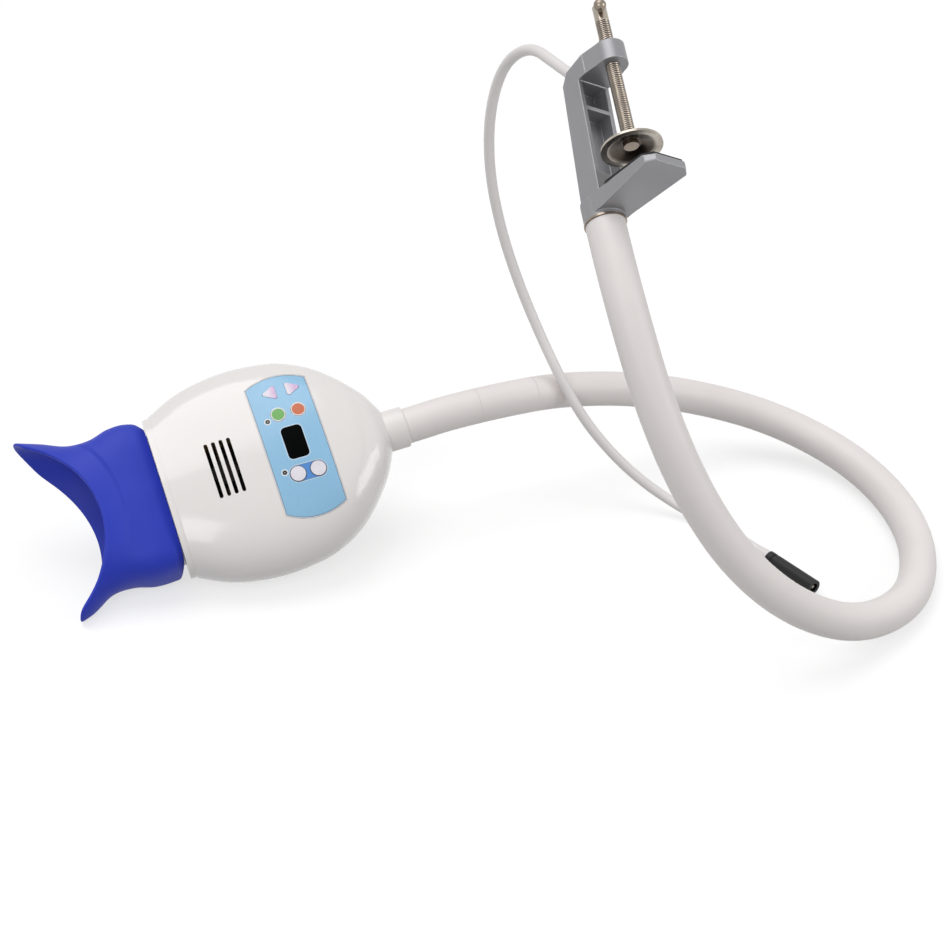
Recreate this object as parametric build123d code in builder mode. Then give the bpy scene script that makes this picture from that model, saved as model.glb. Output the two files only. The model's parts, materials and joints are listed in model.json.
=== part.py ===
"""Teeth whitening lamp: a light head with a mouth shield, on a bendable arm with a table clamp.

Millimetres, +Z up. The origin is on the table, under the middle of the lamp. The lamp lies as it
is unpacked: the head and the loop of its arm rest on the table, and the clamp stands in the air.
"""

from build123d import *
from math import copysign, cos, radians, sin, tan
import os

# Light head, along its axis from the neck to the nose

head_length = 138.0
head_width = 136.0
head_top = 30.0
head_bottom = 36.5
head_wall = 2.4
head_power = 2.5
neck_share = 0.58
neck_x = -neck_share * head_length
nose_x = neck_x + head_length
parting_height = -12.0
bezel_inset = 0.7

# Stations along the housing, as shares of its length, half width, top and bottom
station_shares = [0.0, 0.036, 0.101, 0.203, 0.348, 0.522, 0.71, 0.884, 1.0]
width_shares = [0.22, 0.36, 0.537, 0.75, 0.926, 1.0, 0.993, 0.904, 0.787]
top_shares = [0.433, 0.617, 0.767, 0.883, 0.967, 1.0, 1.0, 0.983, 0.95]
bottom_shares = [0.377, 0.571, 0.753, 0.883, 0.961, 1.0, 0.987, 0.935, 0.83]

# Clearances and overruns

overrun = 1.0
seat_gap = 0.3
running_gap = 0.05
slip_gap = 0.1

# Keypad

panel_x_share = 0.16
panel_x = -panel_x_share * head_length
panel_y = 0.0
panel_width_share = 0.279
panel_width = panel_width_share * head_length
panel_length_share = 0.632
panel_length = panel_length_share * head_width
panel_bulge = 5.5
overlay_thickness = 0.8
panel_margin = 0.3
key_gap = 0.3
key_proud = 0.35
key_travel = 0.6
key_column = -2.0
# Rows of keys and lamps, as shares of the keypad's length
row_shares = {"triangle": -0.424, "colour": -0.238, "white": 0.238, "lamp": 0.204}
triangle_row = row_shares["triangle"] * panel_length
colour_row = row_shares["colour"] * panel_length
white_row = row_shares["white"] * panel_length
key_spread = 6.4
colour_key_radius = 4.5
white_key_radius = 4.9
triangle_radius = 6.3
triangle_corner = 1.2
display_width = 13.0
display_length = 21.5
display_corner = 3.0
lamp_column = 12.0
lamp_row = row_shares["lamp"] * panel_length
lamp_radius = 1.4

# Electronics inside the head

board_width_share = 0.304
board_width = board_width_share * head_length
board_length_share = 0.676
board_length = board_length_share * head_width
board_corner = 3.0
board_thickness = 1.6
board_top = 15.0
switch_size = 6.0
switch_height = 3.4
button_radius = 1.7
button_height = 1.4
module_height = 7.5
post_radius = 2.6
post_x_share = 0.8
post_spacing_x = post_x_share * board_width
post_y_share = 0.65
post_spacing_y = post_y_share * board_length
small_screw_radius = 1.3
small_screw_head = 2.4

# Vent and fan

vent_x_share = 0.17
vent_x = vent_x_share * head_length
vent_y = 3.0
vent_count = 4
vent_pitch = 4.75
vent_width = 2.4
vent_length_share = 0.268
vent_length = vent_length_share * head_width
fan_size_share = 0.29
fan_size = fan_size_share * head_length
fan_bore_share = 0.47
fan_bore_radius = fan_bore_share * fan_size
fan_hub_share = 0.2
fan_hub_radius = fan_hub_share * fan_size
fan_depth = 10.0
fan_top = 23.5
fan_blades = 7
fan_blade_share = 0.72
fan_blade_thickness = 1.2
fan_blade_pitch = 35.0
fan_tip_gap = 0.8
fan_floor = 1.5
fan_corner = 3.0
fan_pin_radius = 1.5
fan_strut_width = 3.0
fan_struts = 4

# Screws that hold the housing halves, as shares of the head's length and width

screw_x_shares = [-0.348, 0.246]
screw_y_shares = [0.191, 0.309]
housing_screw_radius = 1.9
housing_screw_head = 3.4
housing_screw_head_depth = 2.4
housing_screw_length = 15.0
housing_post_radius = 4.0
well_radius = 4.2
well_depth = 5.0

# Nose: bezel, spigot, light board

bezel_thickness = 4.2
bezel_skirt = 5.0
spigot_width = 84.0
spigot_height = 36.0
spigot_length = 18.0
spigot_power = 4.2
spigot_wall = 2.4
nose_drop = 1.5
lens_thickness = 3.0
lens_lip = 2.5
lip_width = 2.2
sink_base = 3.5
sink_depth = 14.0
sink_fins = 13
sink_fin_thickness = 1.6
sink_margin = 3.0
sink_spread_share = 0.77
board_lens_gap = 2.5
light_board_thickness = 1.6
light_board_margin = 4.0
emitter_radius = 3.2
emitter_height = 2.4
emitter_columns = 6
emitter_rows = 2
emitter_pitch = 11.0
emitter_row_pitch = 12.0

# Mouth shield

shield_wall = 3.0
shield_grip = 16.0
shield_length = 79.0
shield_rim = 43.5
shield_tip_reach = 32.5
shield_tip_width = 61.5
shield_tilt = 8.5
# Cross-sections: place along the shield, half width, half height and squareness
shield_place_shares = [0.0, 0.05, 0.13, 0.27, 0.43, 0.6, 0.8, 1.0]
shield_width_shares = [1.0, 1.08, 1.112, 1.117, 1.088, 1.11, 1.226, 1.385]
shield_height_shares = [1.0, 1.09, 1.137, 1.146, 1.165, 1.26, 1.445, 1.5]
shield_power_shares = [1.0, 1.0, 0.95, 0.86, 0.69, 0.5, 0.37, 0.31]

# Bendable arm

arm_radius = 11.25
core_radius = 7.4
wire_bore_radius = 4.5
bore_radius = 7.5
collar_length = 13.5
collar_radius = 13.0
collar_grip = 9.5
collar_neck_radius = 8.7
collar_neck_length = 10.0
collar_round = 1.2
collar_nut_size = 20.0
collar_nut_height = 5.0

# Corners of the arm's centreline, from the clamp down to the table and round to the head
arm_route = [
    (70.3, -52.2, 248.1),
    (78.9, -79.9, 222.8),
    (94.3, -107.0, 178.6),
    (116.1, -121.0, 131.1),
    (145.3, -124.5, 85.6),
    (182.4, -116.2, 47.3),
    (224.4, -95.4, 20.4),
    (261.6, -58.4, 11.8),
    (274.8, -6.3, 11.8),
    (268.0, 47.3, 11.8),
    (243.5, 95.3, 14.3),
    (199.6, 123.6, 25.0),
    (148.5, 123.3, 42.2),
    (99.2, 108.2, 59.0),
    (51.1, 86.6, 71.4),
]
swing_corner = (14.3, 68.6, 74.8)
tilt_corner = (-21.7, 54.1, 73.7)
corner_share = 0.45
joint_corner_share = 0.34
# Where the bending runs by the head begin and end, as shares of the runs they lie on
lead_in_share = 1.8
arm_cut_share = 0.5
link_share = 0.36

# Clamp, from where the arm enters it

clamp_origin = (67.7, -38.8, 256.0)
spine_width = 22.0
spine_back_low = -5.0
spine_back_high = 1.6
spine_front_low = 11.6
spine_front_high = 14.6
jaw_bottom = 1.5
jaw_root = 12.0
jaw_tip = 6.0
jaw_reach = 57.0
jaw_width = 30.0
jaw_chamfer = 4.5
gap_top = 83.0
clamp_top = 95.5
screw_x = 32.0
eye_radius = 9.0
bevel_back = 5.0
bevel_top = 9.0
shoulder_x = 21.0
boss_radius = 11.7
boss_bottom = -0.5
ring_height = 1.2
ring_proud = 0.3
pocket_wall = 2.5
pocket_back = 4.5
pocket_bottom = 23.5
pocket_top = 80.0
pocket_rib = 2.2
pocket_rib_height = 64.5
edge_round = 1.0
jaw_pad_thickness = 1.5
jaw_pad_margin = 2.0
jaw_pad_start = 16.0
screw_radius = 4.0
screw_bottom = 33.0
screw_top = 124.5
screw_chamfer = 0.8
bar_height = 119.5
bar_radius = 1.8
bar_length = 42.0
ball_radius = 3.6
bar_turn = -41.0
disc_radius = 17.3
disc_height = 29.0
disc_dish = 3.5
disc_thickness = 1.4
disc_rim = 3.5
disc_hub_width = 2.0
rivet_radius = 2.2
rivet_flange = 4.2
rivet_flange_thickness = 1.6
rivet_grip = 3.5
rivet_hole_depth = 4.0
grub_radius = 2.5
grub_length = 5.0
grub_height = 5.5

# Thin lead, grommet and inline socket

lead_radius = 3.3
grommet_radius = 5.0
grommet_length = 7.0
grommet_flare = 0.5
relief_length = 13.0
relief_radius = 4.2
socket_radius = 4.9
socket_ring_radius = 4.6
socket_ring_length = 4.0
socket_groove = 0.5
socket_groove_length = 2.0
socket_bore_radius = 2.8
socket_bore_depth = 9.0
pin_radius = 1.05
pin_length = 8.0

# Corners of the lead, from the back of the clamp down to the table; the inline socket follows
lead_route = [
    (54.2, 39.9, 305.8),
    (42.3, 59.6, 307.1),
    (28.8, 83.1, 308.0),
    (13.8, 100.1, 290.5),
    (5.3, 108.6, 256.5),
    (5.1, 110.3, 216.5),
    (12.3, 108.1, 177.5),
    (23.8, 101.6, 142.0),
    (37.5, 91.7, 110.5),
    (51.6, 76.4, 84.8),
    (66.3, 66.6, 61.0),
    (84.3, 62.1, 38.5),
    (104.3, 57.1, 20.0),
    (126.3, 48.6, 7.5),
    (147.3, 32.6, 3.9),
]
lead_tail = 17.0
socket_start = (180.7, -6.4, 5.0)
socket_end = (204.7, -37.4, 5.0)

# Frames

head_axis = Vector(-0.9426, -0.2973, -0.1518)
head_normal = Vector(0.0465, -0.5672, 0.8223)
neck_point = Vector(-59.95, 40.5, 67.94)
head_origin = neck_point - head_axis.normalized() * neck_x
clamp_axis = Vector(-0.1619, 0.8502, 0.501)
clamp_forward = Vector(0.5759, -0.3309, 0.7476)

head = Plane(origin=head_origin, x_dir=head_axis, z_dir=head_normal)
clamp = Plane(origin=clamp_origin, x_dir=clamp_forward, z_dir=clamp_axis)


def local_plane(base, place, normal, across):
    """A plane given by its place and directions in another plane's own coordinates."""
    origin = base.from_local_coords(Vector(*place))
    z_dir = base.from_local_coords(Vector(*normal)) - base.origin
    x_dir = base.from_local_coords(Vector(*across)) - base.origin
    return Plane(origin=origin, x_dir=x_dir, z_dir=z_dir)


def station(x, z=0.0):
    """A plane across the head at x, its own X across the head and its own Y up."""
    return local_plane(head, (x, 0.0, z), (1.0, 0.0, 0.0), (0.0, 1.0, 0.0))


def oval_ring(half_width, top, bottom, power):
    """Control points of a squared oval of four curves, flatter than an ellipse for a power over 2."""
    pull = (8.0 * 2.0 ** (-1.0 / power) - 4.0) / 3.0
    ring = []
    for height, sign in ((top, 1), (-bottom, -1)):
        wide = half_width * sign
        ring.append((wide, 0.0))
        ring.append((wide, pull * height))
        ring.append((pull * wide, height))
        ring.append((0.0, height))
        ring.append((-pull * wide, height))
        ring.append((-wide, pull * height))
    return ring


def ring_face(base, ring):
    """The flat face inside a ring of control points."""
    edges = []
    for first in range(0, len(ring), 3):
        points = [ring[(first + k) % len(ring)] for k in range(4)]
        edges.append(Edge.make_bezier(*[base.from_local_coords(p) for p in points]))
    return Face(Wire(edges))


def smooth_body(rings, places, plane_at):
    """A closed body through the rings, smooth along its length, of curved patches."""
    count = len(rings[0])
    stations = []
    for ring, place in zip(rings, places):
        stations.append([plane_at(place).from_local_coords(p) for p in ring])
    spans = [places[i + 1] - places[i] for i in range(len(places) - 1)]
    slopes = []
    for k in range(count):
        steps = [(stations[i + 1][k] - stations[i][k]) / spans[i] for i in range(len(spans))]
        along = [steps[0]]
        for i in range(1, len(spans)):
            blend = steps[i - 1] * spans[i] + steps[i] * spans[i - 1]
            along.append(blend / (spans[i - 1] + spans[i]))
        along.append(steps[-1])
        slopes.append(along)
    faces = [ring_face(plane_at(places[0]), rings[0]), ring_face(plane_at(places[-1]), rings[-1])]
    for i, span in enumerate(spans):
        for first in range(0, count, 3):
            net = []
            for k in [(first + j) % count for j in range(4)]:
                start = stations[i][k]
                end = stations[i + 1][k]
                net.append(
                    [start, start + slopes[k][i] * span / 3, end - slopes[k][i + 1] * span / 3, end]
                )
            faces.append(Face.make_bezier_surface(net))
    return Solid(Shell(faces))


def head_ring(row, inset):
    """One cross-section of the head, drawn in all round by inset."""
    wide, high, low = row
    return oval_ring(
        wide * head_width / 2 - inset,
        high * head_top - inset,
        low * head_bottom - inset,
        head_power,
    )


section_rows = list(zip(width_shares, top_shares, bottom_shares))


def head_shape(inset, front_overrun=0.0):
    """The egg-shaped body of the head, drawn in all round and at the back by inset."""
    places = [neck_x + share * head_length for share in station_shares]
    places[0] += inset
    places[-1] += front_overrun
    return smooth_body([head_ring(row, inset) for row in section_rows], places, station)


outer_shape = head_shape(0.0)
skin_shape = head_shape(overlay_thickness)
inner_shape = head_shape(head_wall, overrun)
proud_shape = head_shape(-key_proud)
seat_shape = head_shape(head_wall / 2)

panel = local_plane(head, (panel_x, panel_y, 0.0), (0, 0, 1), (1, 0, 0))
vent = local_plane(head, (vent_x, vent_y, 0.0), (0, 0, 1), (1, 0, 0))
reach = head_top + overrun


def panel_outline(margin):
    """The keypad's outline: straight long sides and bowed ends, grown by margin."""
    half = panel_width / 2 + margin
    end = panel_length / 2 + margin
    with BuildSketch(panel) as outline:
        with BuildLine():
            Line((-half, -end), (-half, end))
            ThreePointArc((-half, end), (0, end + panel_bulge), (half, end))
            Line((half, end), (half, -end))
            ThreePointArc((half, -end), (0, -end - panel_bulge), (-half, -end))
        make_face()
    return outline.sketch


def round_key(x, y, radius, margin):
    with BuildSketch(panel) as outline:
        with Locations((x, y)):
            Circle(radius + margin)
    return outline.sketch


def triangle_key(x, y, turn, margin):
    with BuildSketch(panel) as outline:
        with Locations((x, y)):
            RegularPolygon(triangle_radius + margin, 3, rotation=turn)
        fillet(outline.vertices(), triangle_corner)
    return outline.sketch


def display_outline(margin):
    with BuildSketch(panel) as outline:
        RectangleRounded(
            display_width + 2 * margin, display_length + 2 * margin, display_corner
        )
    return outline.sketch


key_sketches = {
    "key_up": lambda m: triangle_key(key_column + key_spread, triangle_row, 0.0, m),
    "key_down": lambda m: triangle_key(key_column - key_spread, triangle_row, 180.0, m),
    "key_green": lambda m: round_key(
        key_column + key_spread, colour_row, colour_key_radius, m
    ),
    "key_orange": lambda m: round_key(
        key_column - key_spread, colour_row, colour_key_radius, m
    ),
    "key_white_front": lambda m: round_key(
        key_column + key_spread, white_row, white_key_radius, m
    ),
    "key_white_rear": lambda m: round_key(
        key_column - key_spread, white_row, white_key_radius, m
    ),
}
key_places = {
    "key_up": (key_column + key_spread, triangle_row),
    "key_down": (key_column - key_spread, triangle_row),
    "key_green": (key_column + key_spread, colour_row),
    "key_orange": (key_column - key_spread, colour_row),
    "key_white_front": (key_column + key_spread, white_row),
    "key_white_rear": (key_column - key_spread, white_row),
}
lamp_places = [(lamp_column, -lamp_row), (lamp_column, lamp_row)]
stem_bottom = board_top + switch_height + button_height + key_gap + key_travel


# Head housing

with BuildPart() as panel_recess:
    extrude(panel_outline(panel_margin), amount=reach)
    add(skin_shape, mode=Mode.SUBTRACT)

with BuildPart() as upper_housing:
    add(outer_shape)
    add(inner_shape, mode=Mode.SUBTRACT)
    split(bisect_by=head.offset(parting_height), keep=Keep.TOP)
    # Posts for the control board and the fan
    with BuildPart(mode=Mode.PRIVATE) as posts:
        with BuildSketch(panel.offset(board_top)):
            with GridLocations(post_spacing_x, post_spacing_y, 2, 2):
                Circle(post_radius)
        extrude(amount=reach)
        with BuildSketch(vent.offset(fan_top)):
            with GridLocations(fan_size - 2 * fan_corner, fan_size - 2 * fan_corner, 2, 2):
                Circle(post_radius)
        extrude(amount=reach)
        add(seat_shape, mode=Mode.INTERSECT)
    add(posts.part)
    add(panel_recess.part, mode=Mode.SUBTRACT)
    for sketch in key_sketches.values():
        extrude(sketch(key_gap), amount=reach, mode=Mode.SUBTRACT)
    extrude(display_outline(seat_gap), amount=reach, mode=Mode.SUBTRACT)
    for x, y in lamp_places:
        extrude(round_key(x, y, lamp_radius, slip_gap), amount=reach, mode=Mode.SUBTRACT)
    with BuildSketch(vent):
        with GridLocations(vent_pitch, 0, vent_count, 1):
            SlotOverall(vent_length, vent_width, rotation=90)
    extrude(amount=reach, mode=Mode.SUBTRACT)
    with BuildSketch(station(neck_x - overrun)):
        Circle(collar_neck_radius + slip_gap)
    extrude(amount=head_wall + 2 * overrun, mode=Mode.SUBTRACT)

screw_places = []
for x_share, y_share in zip(screw_x_shares, screw_y_shares):
    for hand in (-1, 1):
        screw_places.append((x_share * head_length, hand * y_share * head_width))

with BuildPart() as lower_housing:
    add(outer_shape)
    add(inner_shape, mode=Mode.SUBTRACT)
    split(bisect_by=head.offset(parting_height), keep=Keep.BOTTOM)
    with BuildPart(mode=Mode.PRIVATE) as wells:
        with BuildSketch(head.offset(parting_height)):
            with Locations(*screw_places):
                Circle(well_radius + head_wall)
        extrude(amount=-head_bottom)
        add(seat_shape, mode=Mode.INTERSECT)
    add(wells.part)
    with BuildSketch(head.offset(parting_height - well_depth)):
        with Locations(*screw_places):
            Circle(well_radius)
    extrude(amount=-head_bottom, mode=Mode.SUBTRACT)
    with BuildSketch(head.offset(parting_height + overrun)):
        with Locations(*screw_places):
            Circle(housing_screw_radius + slip_gap)
    extrude(amount=-head_bottom, mode=Mode.SUBTRACT)
    with BuildSketch(station(neck_x - overrun)):
        Circle(collar_neck_radius + slip_gap)
    extrude(amount=head_wall + 2 * overrun, mode=Mode.SUBTRACT)

with BuildPart() as housing_posts:
    with BuildSketch(head.offset(parting_height)):
        with Locations(*screw_places):
            Circle(housing_post_radius)
            Circle(housing_screw_radius, mode=Mode.SUBTRACT)
    extrude(amount=reach - parting_height)
    add(seat_shape, mode=Mode.INTERSECT)

with BuildPart() as upper_with_posts:
    add(upper_housing.part)
    add(housing_posts.part)
upper_housing = upper_with_posts

with BuildPart() as housing_screws:
    with BuildSketch(head.offset(parting_height - well_depth)):
        with Locations(*screw_places):
            Circle(housing_screw_head)
    extrude(amount=-housing_screw_head_depth)
    with BuildSketch(head.offset(parting_height - well_depth)):
        with Locations(*screw_places):
            Circle(housing_screw_radius)
    extrude(amount=housing_screw_length)

# Keypad

with BuildPart() as keypad_overlay:
    extrude(panel_outline(0.0), amount=reach)
    add(outer_shape, mode=Mode.INTERSECT)
    add(skin_shape, mode=Mode.SUBTRACT)
    for sketch in key_sketches.values():
        extrude(sketch(key_gap), amount=reach, mode=Mode.SUBTRACT)
    extrude(display_outline(slip_gap), amount=reach, mode=Mode.SUBTRACT)
    for x, y in lamp_places:
        extrude(round_key(x, y, lamp_radius, slip_gap), amount=reach, mode=Mode.SUBTRACT)

keys = {}
for name, sketch in key_sketches.items():
    with BuildPart() as key:
        extrude(sketch(0.0), amount=reach)
        add(proud_shape, mode=Mode.INTERSECT)
        split(bisect_by=head.offset(stem_bottom), keep=Keep.TOP)
    keys[name] = key

module_top = board_top + module_height
with BuildPart() as display_window:
    extrude(display_outline(0.0), amount=reach)
    add(outer_shape, mode=Mode.INTERSECT)
    split(bisect_by=head.offset(module_top), keep=Keep.TOP)

with BuildPart() as display_module:
    with BuildSketch(panel.offset(board_top)):
        RectangleRounded(display_width, display_length, display_corner)
    extrude(amount=module_height)

with BuildPart() as indicator_lights:
    for x, y in lamp_places:
        extrude(round_key(x, y, lamp_radius, 0.0), amount=reach)
    add(outer_shape, mode=Mode.INTERSECT)
    split(bisect_by=head.offset(board_top), keep=Keep.TOP)

with BuildPart() as control_board:
    with BuildSketch(panel.offset(board_top)):
        RectangleRounded(board_width, board_length, board_corner)
        with GridLocations(post_spacing_x, post_spacing_y, 2, 2):
            Circle(small_screw_radius + slip_gap, mode=Mode.SUBTRACT)
    extrude(amount=-board_thickness)

with BuildPart() as key_switches:
    with BuildSketch(panel.offset(board_top)):
        with Locations(*key_places.values()):
            Rectangle(switch_size, switch_size)
    extrude(amount=switch_height)
    with BuildSketch(panel.offset(board_top + switch_height)):
        with Locations(*key_places.values()):
            Circle(button_radius)
    extrude(amount=button_height)

with BuildPart() as board_screws:
    with BuildSketch(panel.offset(board_top - board_thickness)):
        with GridLocations(post_spacing_x, post_spacing_y, 2, 2):
            Circle(small_screw_head)
    extrude(amount=-board_thickness)
    with BuildSketch(panel.offset(board_top - board_thickness)):
        with GridLocations(post_spacing_x, post_spacing_y, 2, 2):
            Circle(small_screw_radius)
    extrude(amount=board_thickness)

# Fan

fan_base = vent.offset(fan_top - fan_depth)
with BuildPart() as cooling_fan:
    with BuildSketch(fan_base):
        RectangleRounded(fan_size, fan_size, fan_corner)
        Circle(fan_bore_radius, mode=Mode.SUBTRACT)
    extrude(amount=fan_depth)
    with BuildSketch(fan_base):
        Circle(fan_hub_radius)
        with PolarLocations(fan_size / 4, fan_struts):
            Rectangle(fan_size / 2, fan_strut_width)
    extrude(amount=fan_floor)
    with BuildSketch(fan_base):
        Circle(fan_pin_radius)
    extrude(amount=fan_depth / 2)

rotor_bottom = fan_floor + seat_gap
rotor_height = fan_depth - rotor_bottom - seat_gap
blade_length = fan_bore_radius - fan_tip_gap - fan_hub_radius
with BuildPart() as fan_rotor:
    with BuildSketch(fan_base.offset(rotor_bottom)):
        Circle(fan_hub_radius)
    extrude(amount=rotor_height)
    with BuildSketch(fan_base.offset(rotor_bottom - overrun)):
        Circle(fan_pin_radius + running_gap)
    extrude(amount=fan_depth / 2 - rotor_bottom + overrun + seat_gap, mode=Mode.SUBTRACT)
    blade_width = fan_blade_share * rotor_height / cos(radians(fan_blade_pitch))
    for i in range(fan_blades):
        turn = 360.0 * i / fan_blades
        blade = Box(
            blade_length + overrun, fan_blade_thickness, blade_width, mode=Mode.PRIVATE
        )
        middle = fan_hub_radius - overrun + (blade_length + overrun) / 2
        spoke = Rot(0, 0, turn) * Pos(middle, 0, rotor_bottom + rotor_height / 2)
        add(fan_base * spoke * Rot(fan_blade_pitch, 0, 0) * blade)

# Nose bezel with the spigot that carries the shield

nose = station(nose_x, -nose_drop)
spigot_front = bezel_thickness + spigot_length


def spigot_outline(base, shrink):
    half = spigot_height / 2 - shrink
    return ring_face(base, oval_ring(spigot_width / 2 - shrink, half, half, spigot_power))


def bezel_outline(place, shrink):
    """The flat end of the head at a place along it, drawn in by shrink."""
    return ring_face(station(place), head_ring(section_rows[-1], bezel_inset + shrink))


with BuildPart() as nose_bezel:
    extrude(bezel_outline(nose_x, 0.0), amount=bezel_thickness)
    extrude(bezel_outline(nose_x, head_wall + seat_gap), amount=bezel_skirt, dir=-nose.z_dir)
    extrude(spigot_outline(nose, 0.0), amount=spigot_front)
    extrude(
        spigot_outline(nose.offset(-bezel_skirt - overrun), spigot_wall),
        amount=spigot_front + bezel_skirt + overrun - lens_lip,
        mode=Mode.SUBTRACT,
    )
    extrude(
        spigot_outline(nose, spigot_wall + lip_width),
        amount=spigot_front + overrun,
        mode=Mode.SUBTRACT,
    )

lens_back = spigot_front - lens_lip - lens_thickness
with BuildPart() as light_window:
    extrude(spigot_outline(nose.offset(lens_back), spigot_wall + slip_gap), amount=lens_thickness)

sink_front = lens_back - board_lens_gap - emitter_height - light_board_thickness
with BuildPart() as heat_sink:
    extrude(
        spigot_outline(nose.offset(sink_front - sink_base), spigot_wall + slip_gap),
        amount=sink_base,
    )
    fin_pitch = sink_spread_share * spigot_width / (sink_fins - 1)
    with BuildSketch(nose.offset(sink_front - sink_base)):
        with GridLocations(fin_pitch, 0, sink_fins, 1):
            Rectangle(sink_fin_thickness, spigot_height - 2 * spigot_wall - 2 * sink_margin)
    extrude(amount=-sink_depth)

with BuildPart() as light_board:
    with BuildSketch(nose.offset(sink_front)):
        Rectangle(
            spigot_width - 2 * (spigot_wall + light_board_margin),
            spigot_height - 2 * (spigot_wall + light_board_margin),
        )
    extrude(amount=light_board_thickness)

with BuildPart() as light_emitters:
    with BuildSketch(nose.offset(sink_front + light_board_thickness)):
        with GridLocations(emitter_pitch, emitter_row_pitch, emitter_columns, emitter_rows):
            Circle(emitter_radius)
    extrude(amount=emitter_height)

# Mouth shield: a squared collar that opens into a lens-shaped lip with two wings

shield_base = bezel_thickness + seat_gap
shield_half_width = spigot_width / 2 + seat_gap + shield_wall
shield_half_height = spigot_height / 2 + seat_gap + shield_wall
shield_powers = [share * spigot_power for share in shield_power_shares]


def shield_shape(inset, ends):
    """The shield as a solid form, drawn in all round by inset and run past both ends."""
    places = [shield_base + share * shield_length for share in shield_place_shares]
    places[0] -= ends
    places[-1] += ends
    rings = []
    for wide, high, power in zip(shield_width_shares, shield_height_shares, shield_powers):
        height = high * shield_half_height - inset
        rings.append(oval_ring(wide * shield_half_width - inset, height, height, power))
    return smooth_body(rings, places, nose.offset)


rim_radius = (shield_tip_width**2 + shield_tip_reach**2) / (2 * shield_tip_reach)
lean_x = sin(radians(shield_tilt))
lean_z = cos(radians(shield_tilt))
rim_plane = local_plane(
    head,
    (nose_x + shield_base + shield_rim + rim_radius, 0, -nose_drop),
    (-lean_x, 0, lean_z),
    (lean_z, 0, lean_x),
)
with BuildPart() as shield_cavity:
    add(shield_shape(shield_wall, overrun))
    split(bisect_by=nose.offset(shield_base + shield_grip), keep=Keep.TOP)
    extrude(
        spigot_outline(nose.offset(shield_base - overrun), -seat_gap),
        amount=shield_grip + 2 * overrun,
    )

with BuildPart() as mouth_shield:
    add(shield_shape(0.0, 0.0))
    add(shield_cavity.part, mode=Mode.SUBTRACT)
    with BuildSketch(rim_plane.offset(-2 * shield_half_height)):
        Circle(rim_radius)
    extrude(amount=4 * shield_half_height, mode=Mode.SUBTRACT)

# Arm

collar_mouth = neck_x - collar_length
sleeve_end = head.from_local_coords(Vector(neck_x - collar_length + collar_grip, 0, 0))
core_end = head.from_local_coords(Vector(neck_x + collar_neck_length, 0, 0))


def corner_radii(points, shares):
    """The radius of each corner's arc, as a share of the shorter run beside it."""
    radii = []
    for i in range(1, len(points) - 1):
        before = points[i] - points[i - 1]
        after = points[i + 1] - points[i]
        turn = radians(before.get_angle(after))
        radii.append(shares[i - 1] * min(before.length, after.length) / tan(turn / 2))
    return radii


def tube(points, radii, radius, bore=0.0):
    """A round tube along straight runs joined by tangent arcs."""
    with BuildPart() as shape:
        with BuildLine() as path:
            if radii:
                FilletPolyline(*points, radius=radii)
            else:
                Line(*points)
        with BuildSketch(path.line ^ 0):
            Circle(radius)
            if bore > 0.0:
                Circle(bore, mode=Mode.SUBTRACT)
        sweep()
    return shape


def between(start, end, share):
    return start + (end - start) * share


clamp_mouth = clamp.from_local_coords(Vector(0, 0, boss_bottom - ring_height))
core_top = clamp.from_local_coords(Vector(0, 0, jaw_root - pocket_wall - seat_gap))
corners = [Vector(*p) for p in arm_route]
swing = Vector(*swing_corner)
tilt = Vector(*tilt_corner)
neck_lead_in = head.from_local_coords(Vector(neck_x - lead_in_share * collar_length, 0, 0))
arm_cut = between(corners[-1], swing, arm_cut_share)
link_start = between(swing, tilt, link_share)
link_end = between(swing, tilt, 1 - link_share)

arm_points = [clamp_mouth] + corners + [arm_cut]
swing_points = [arm_cut, swing, link_start]
link_points = [link_start, link_end]
tilt_points = [link_end, tilt, neck_lead_in, sleeve_end]
arm_shares = [corner_share] * (len(arm_points) - 2)
arm_shares[-1] = joint_corner_share

arm_radii = corner_radii(arm_points, arm_shares)
swing_radii = corner_radii(swing_points, [joint_corner_share])
tilt_radii = corner_radii(tilt_points, [joint_corner_share] * 2)

arm_sleeve = tube(arm_points, arm_radii, arm_radius, bore_radius)
arm_core = tube([core_top] + arm_points[1:], arm_radii, core_radius, wire_bore_radius)
swing_sleeve = tube(swing_points, swing_radii, arm_radius, bore_radius)
swing_core = tube(swing_points, swing_radii, core_radius, wire_bore_radius)
link_sleeve = tube(link_points, [], arm_radius, bore_radius)
link_core = tube(link_points, [], core_radius, wire_bore_radius)
tilt_sleeve = tube(tilt_points, tilt_radii, arm_radius, bore_radius)
tilt_core = tube(tilt_points[:-1] + [core_end], tilt_radii, core_radius, wire_bore_radius)

with BuildPart() as neck_collar:
    with BuildSketch(station(collar_mouth)):
        Circle(collar_radius)
        Circle(arm_radius + slip_gap, mode=Mode.SUBTRACT)
    extrude(amount=collar_grip)
    with BuildSketch(station(collar_mouth + collar_grip)):
        Circle(collar_radius)
        Circle(bore_radius, mode=Mode.SUBTRACT)
    extrude(amount=collar_length - collar_grip)
    with BuildSketch(station(neck_x)):
        Circle(collar_neck_radius)
        Circle(bore_radius, mode=Mode.SUBTRACT)
    extrude(amount=collar_neck_length)
    mouth_edges = neck_collar.edges().group_by(Axis(head.origin, head.x_dir))[0]
    fillet(mouth_edges.sort_by(SortBy.RADIUS)[-1], collar_round)

with BuildPart() as collar_nut:
    with BuildSketch(station(neck_x + head_wall)):
        RegularPolygon(collar_nut_size / 2, 6, major_radius=False)
        Circle(collar_neck_radius + running_gap, mode=Mode.SUBTRACT)
    extrude(amount=collar_nut_height)

# Clamp

side = local_plane(clamp, (0, 0, 0), (0, -1, 0), (1, 0, 0))
half_spine = spine_width / 2
half_jaw = jaw_width / 2
pocket_mouth = spine_front_high + overrun

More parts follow.
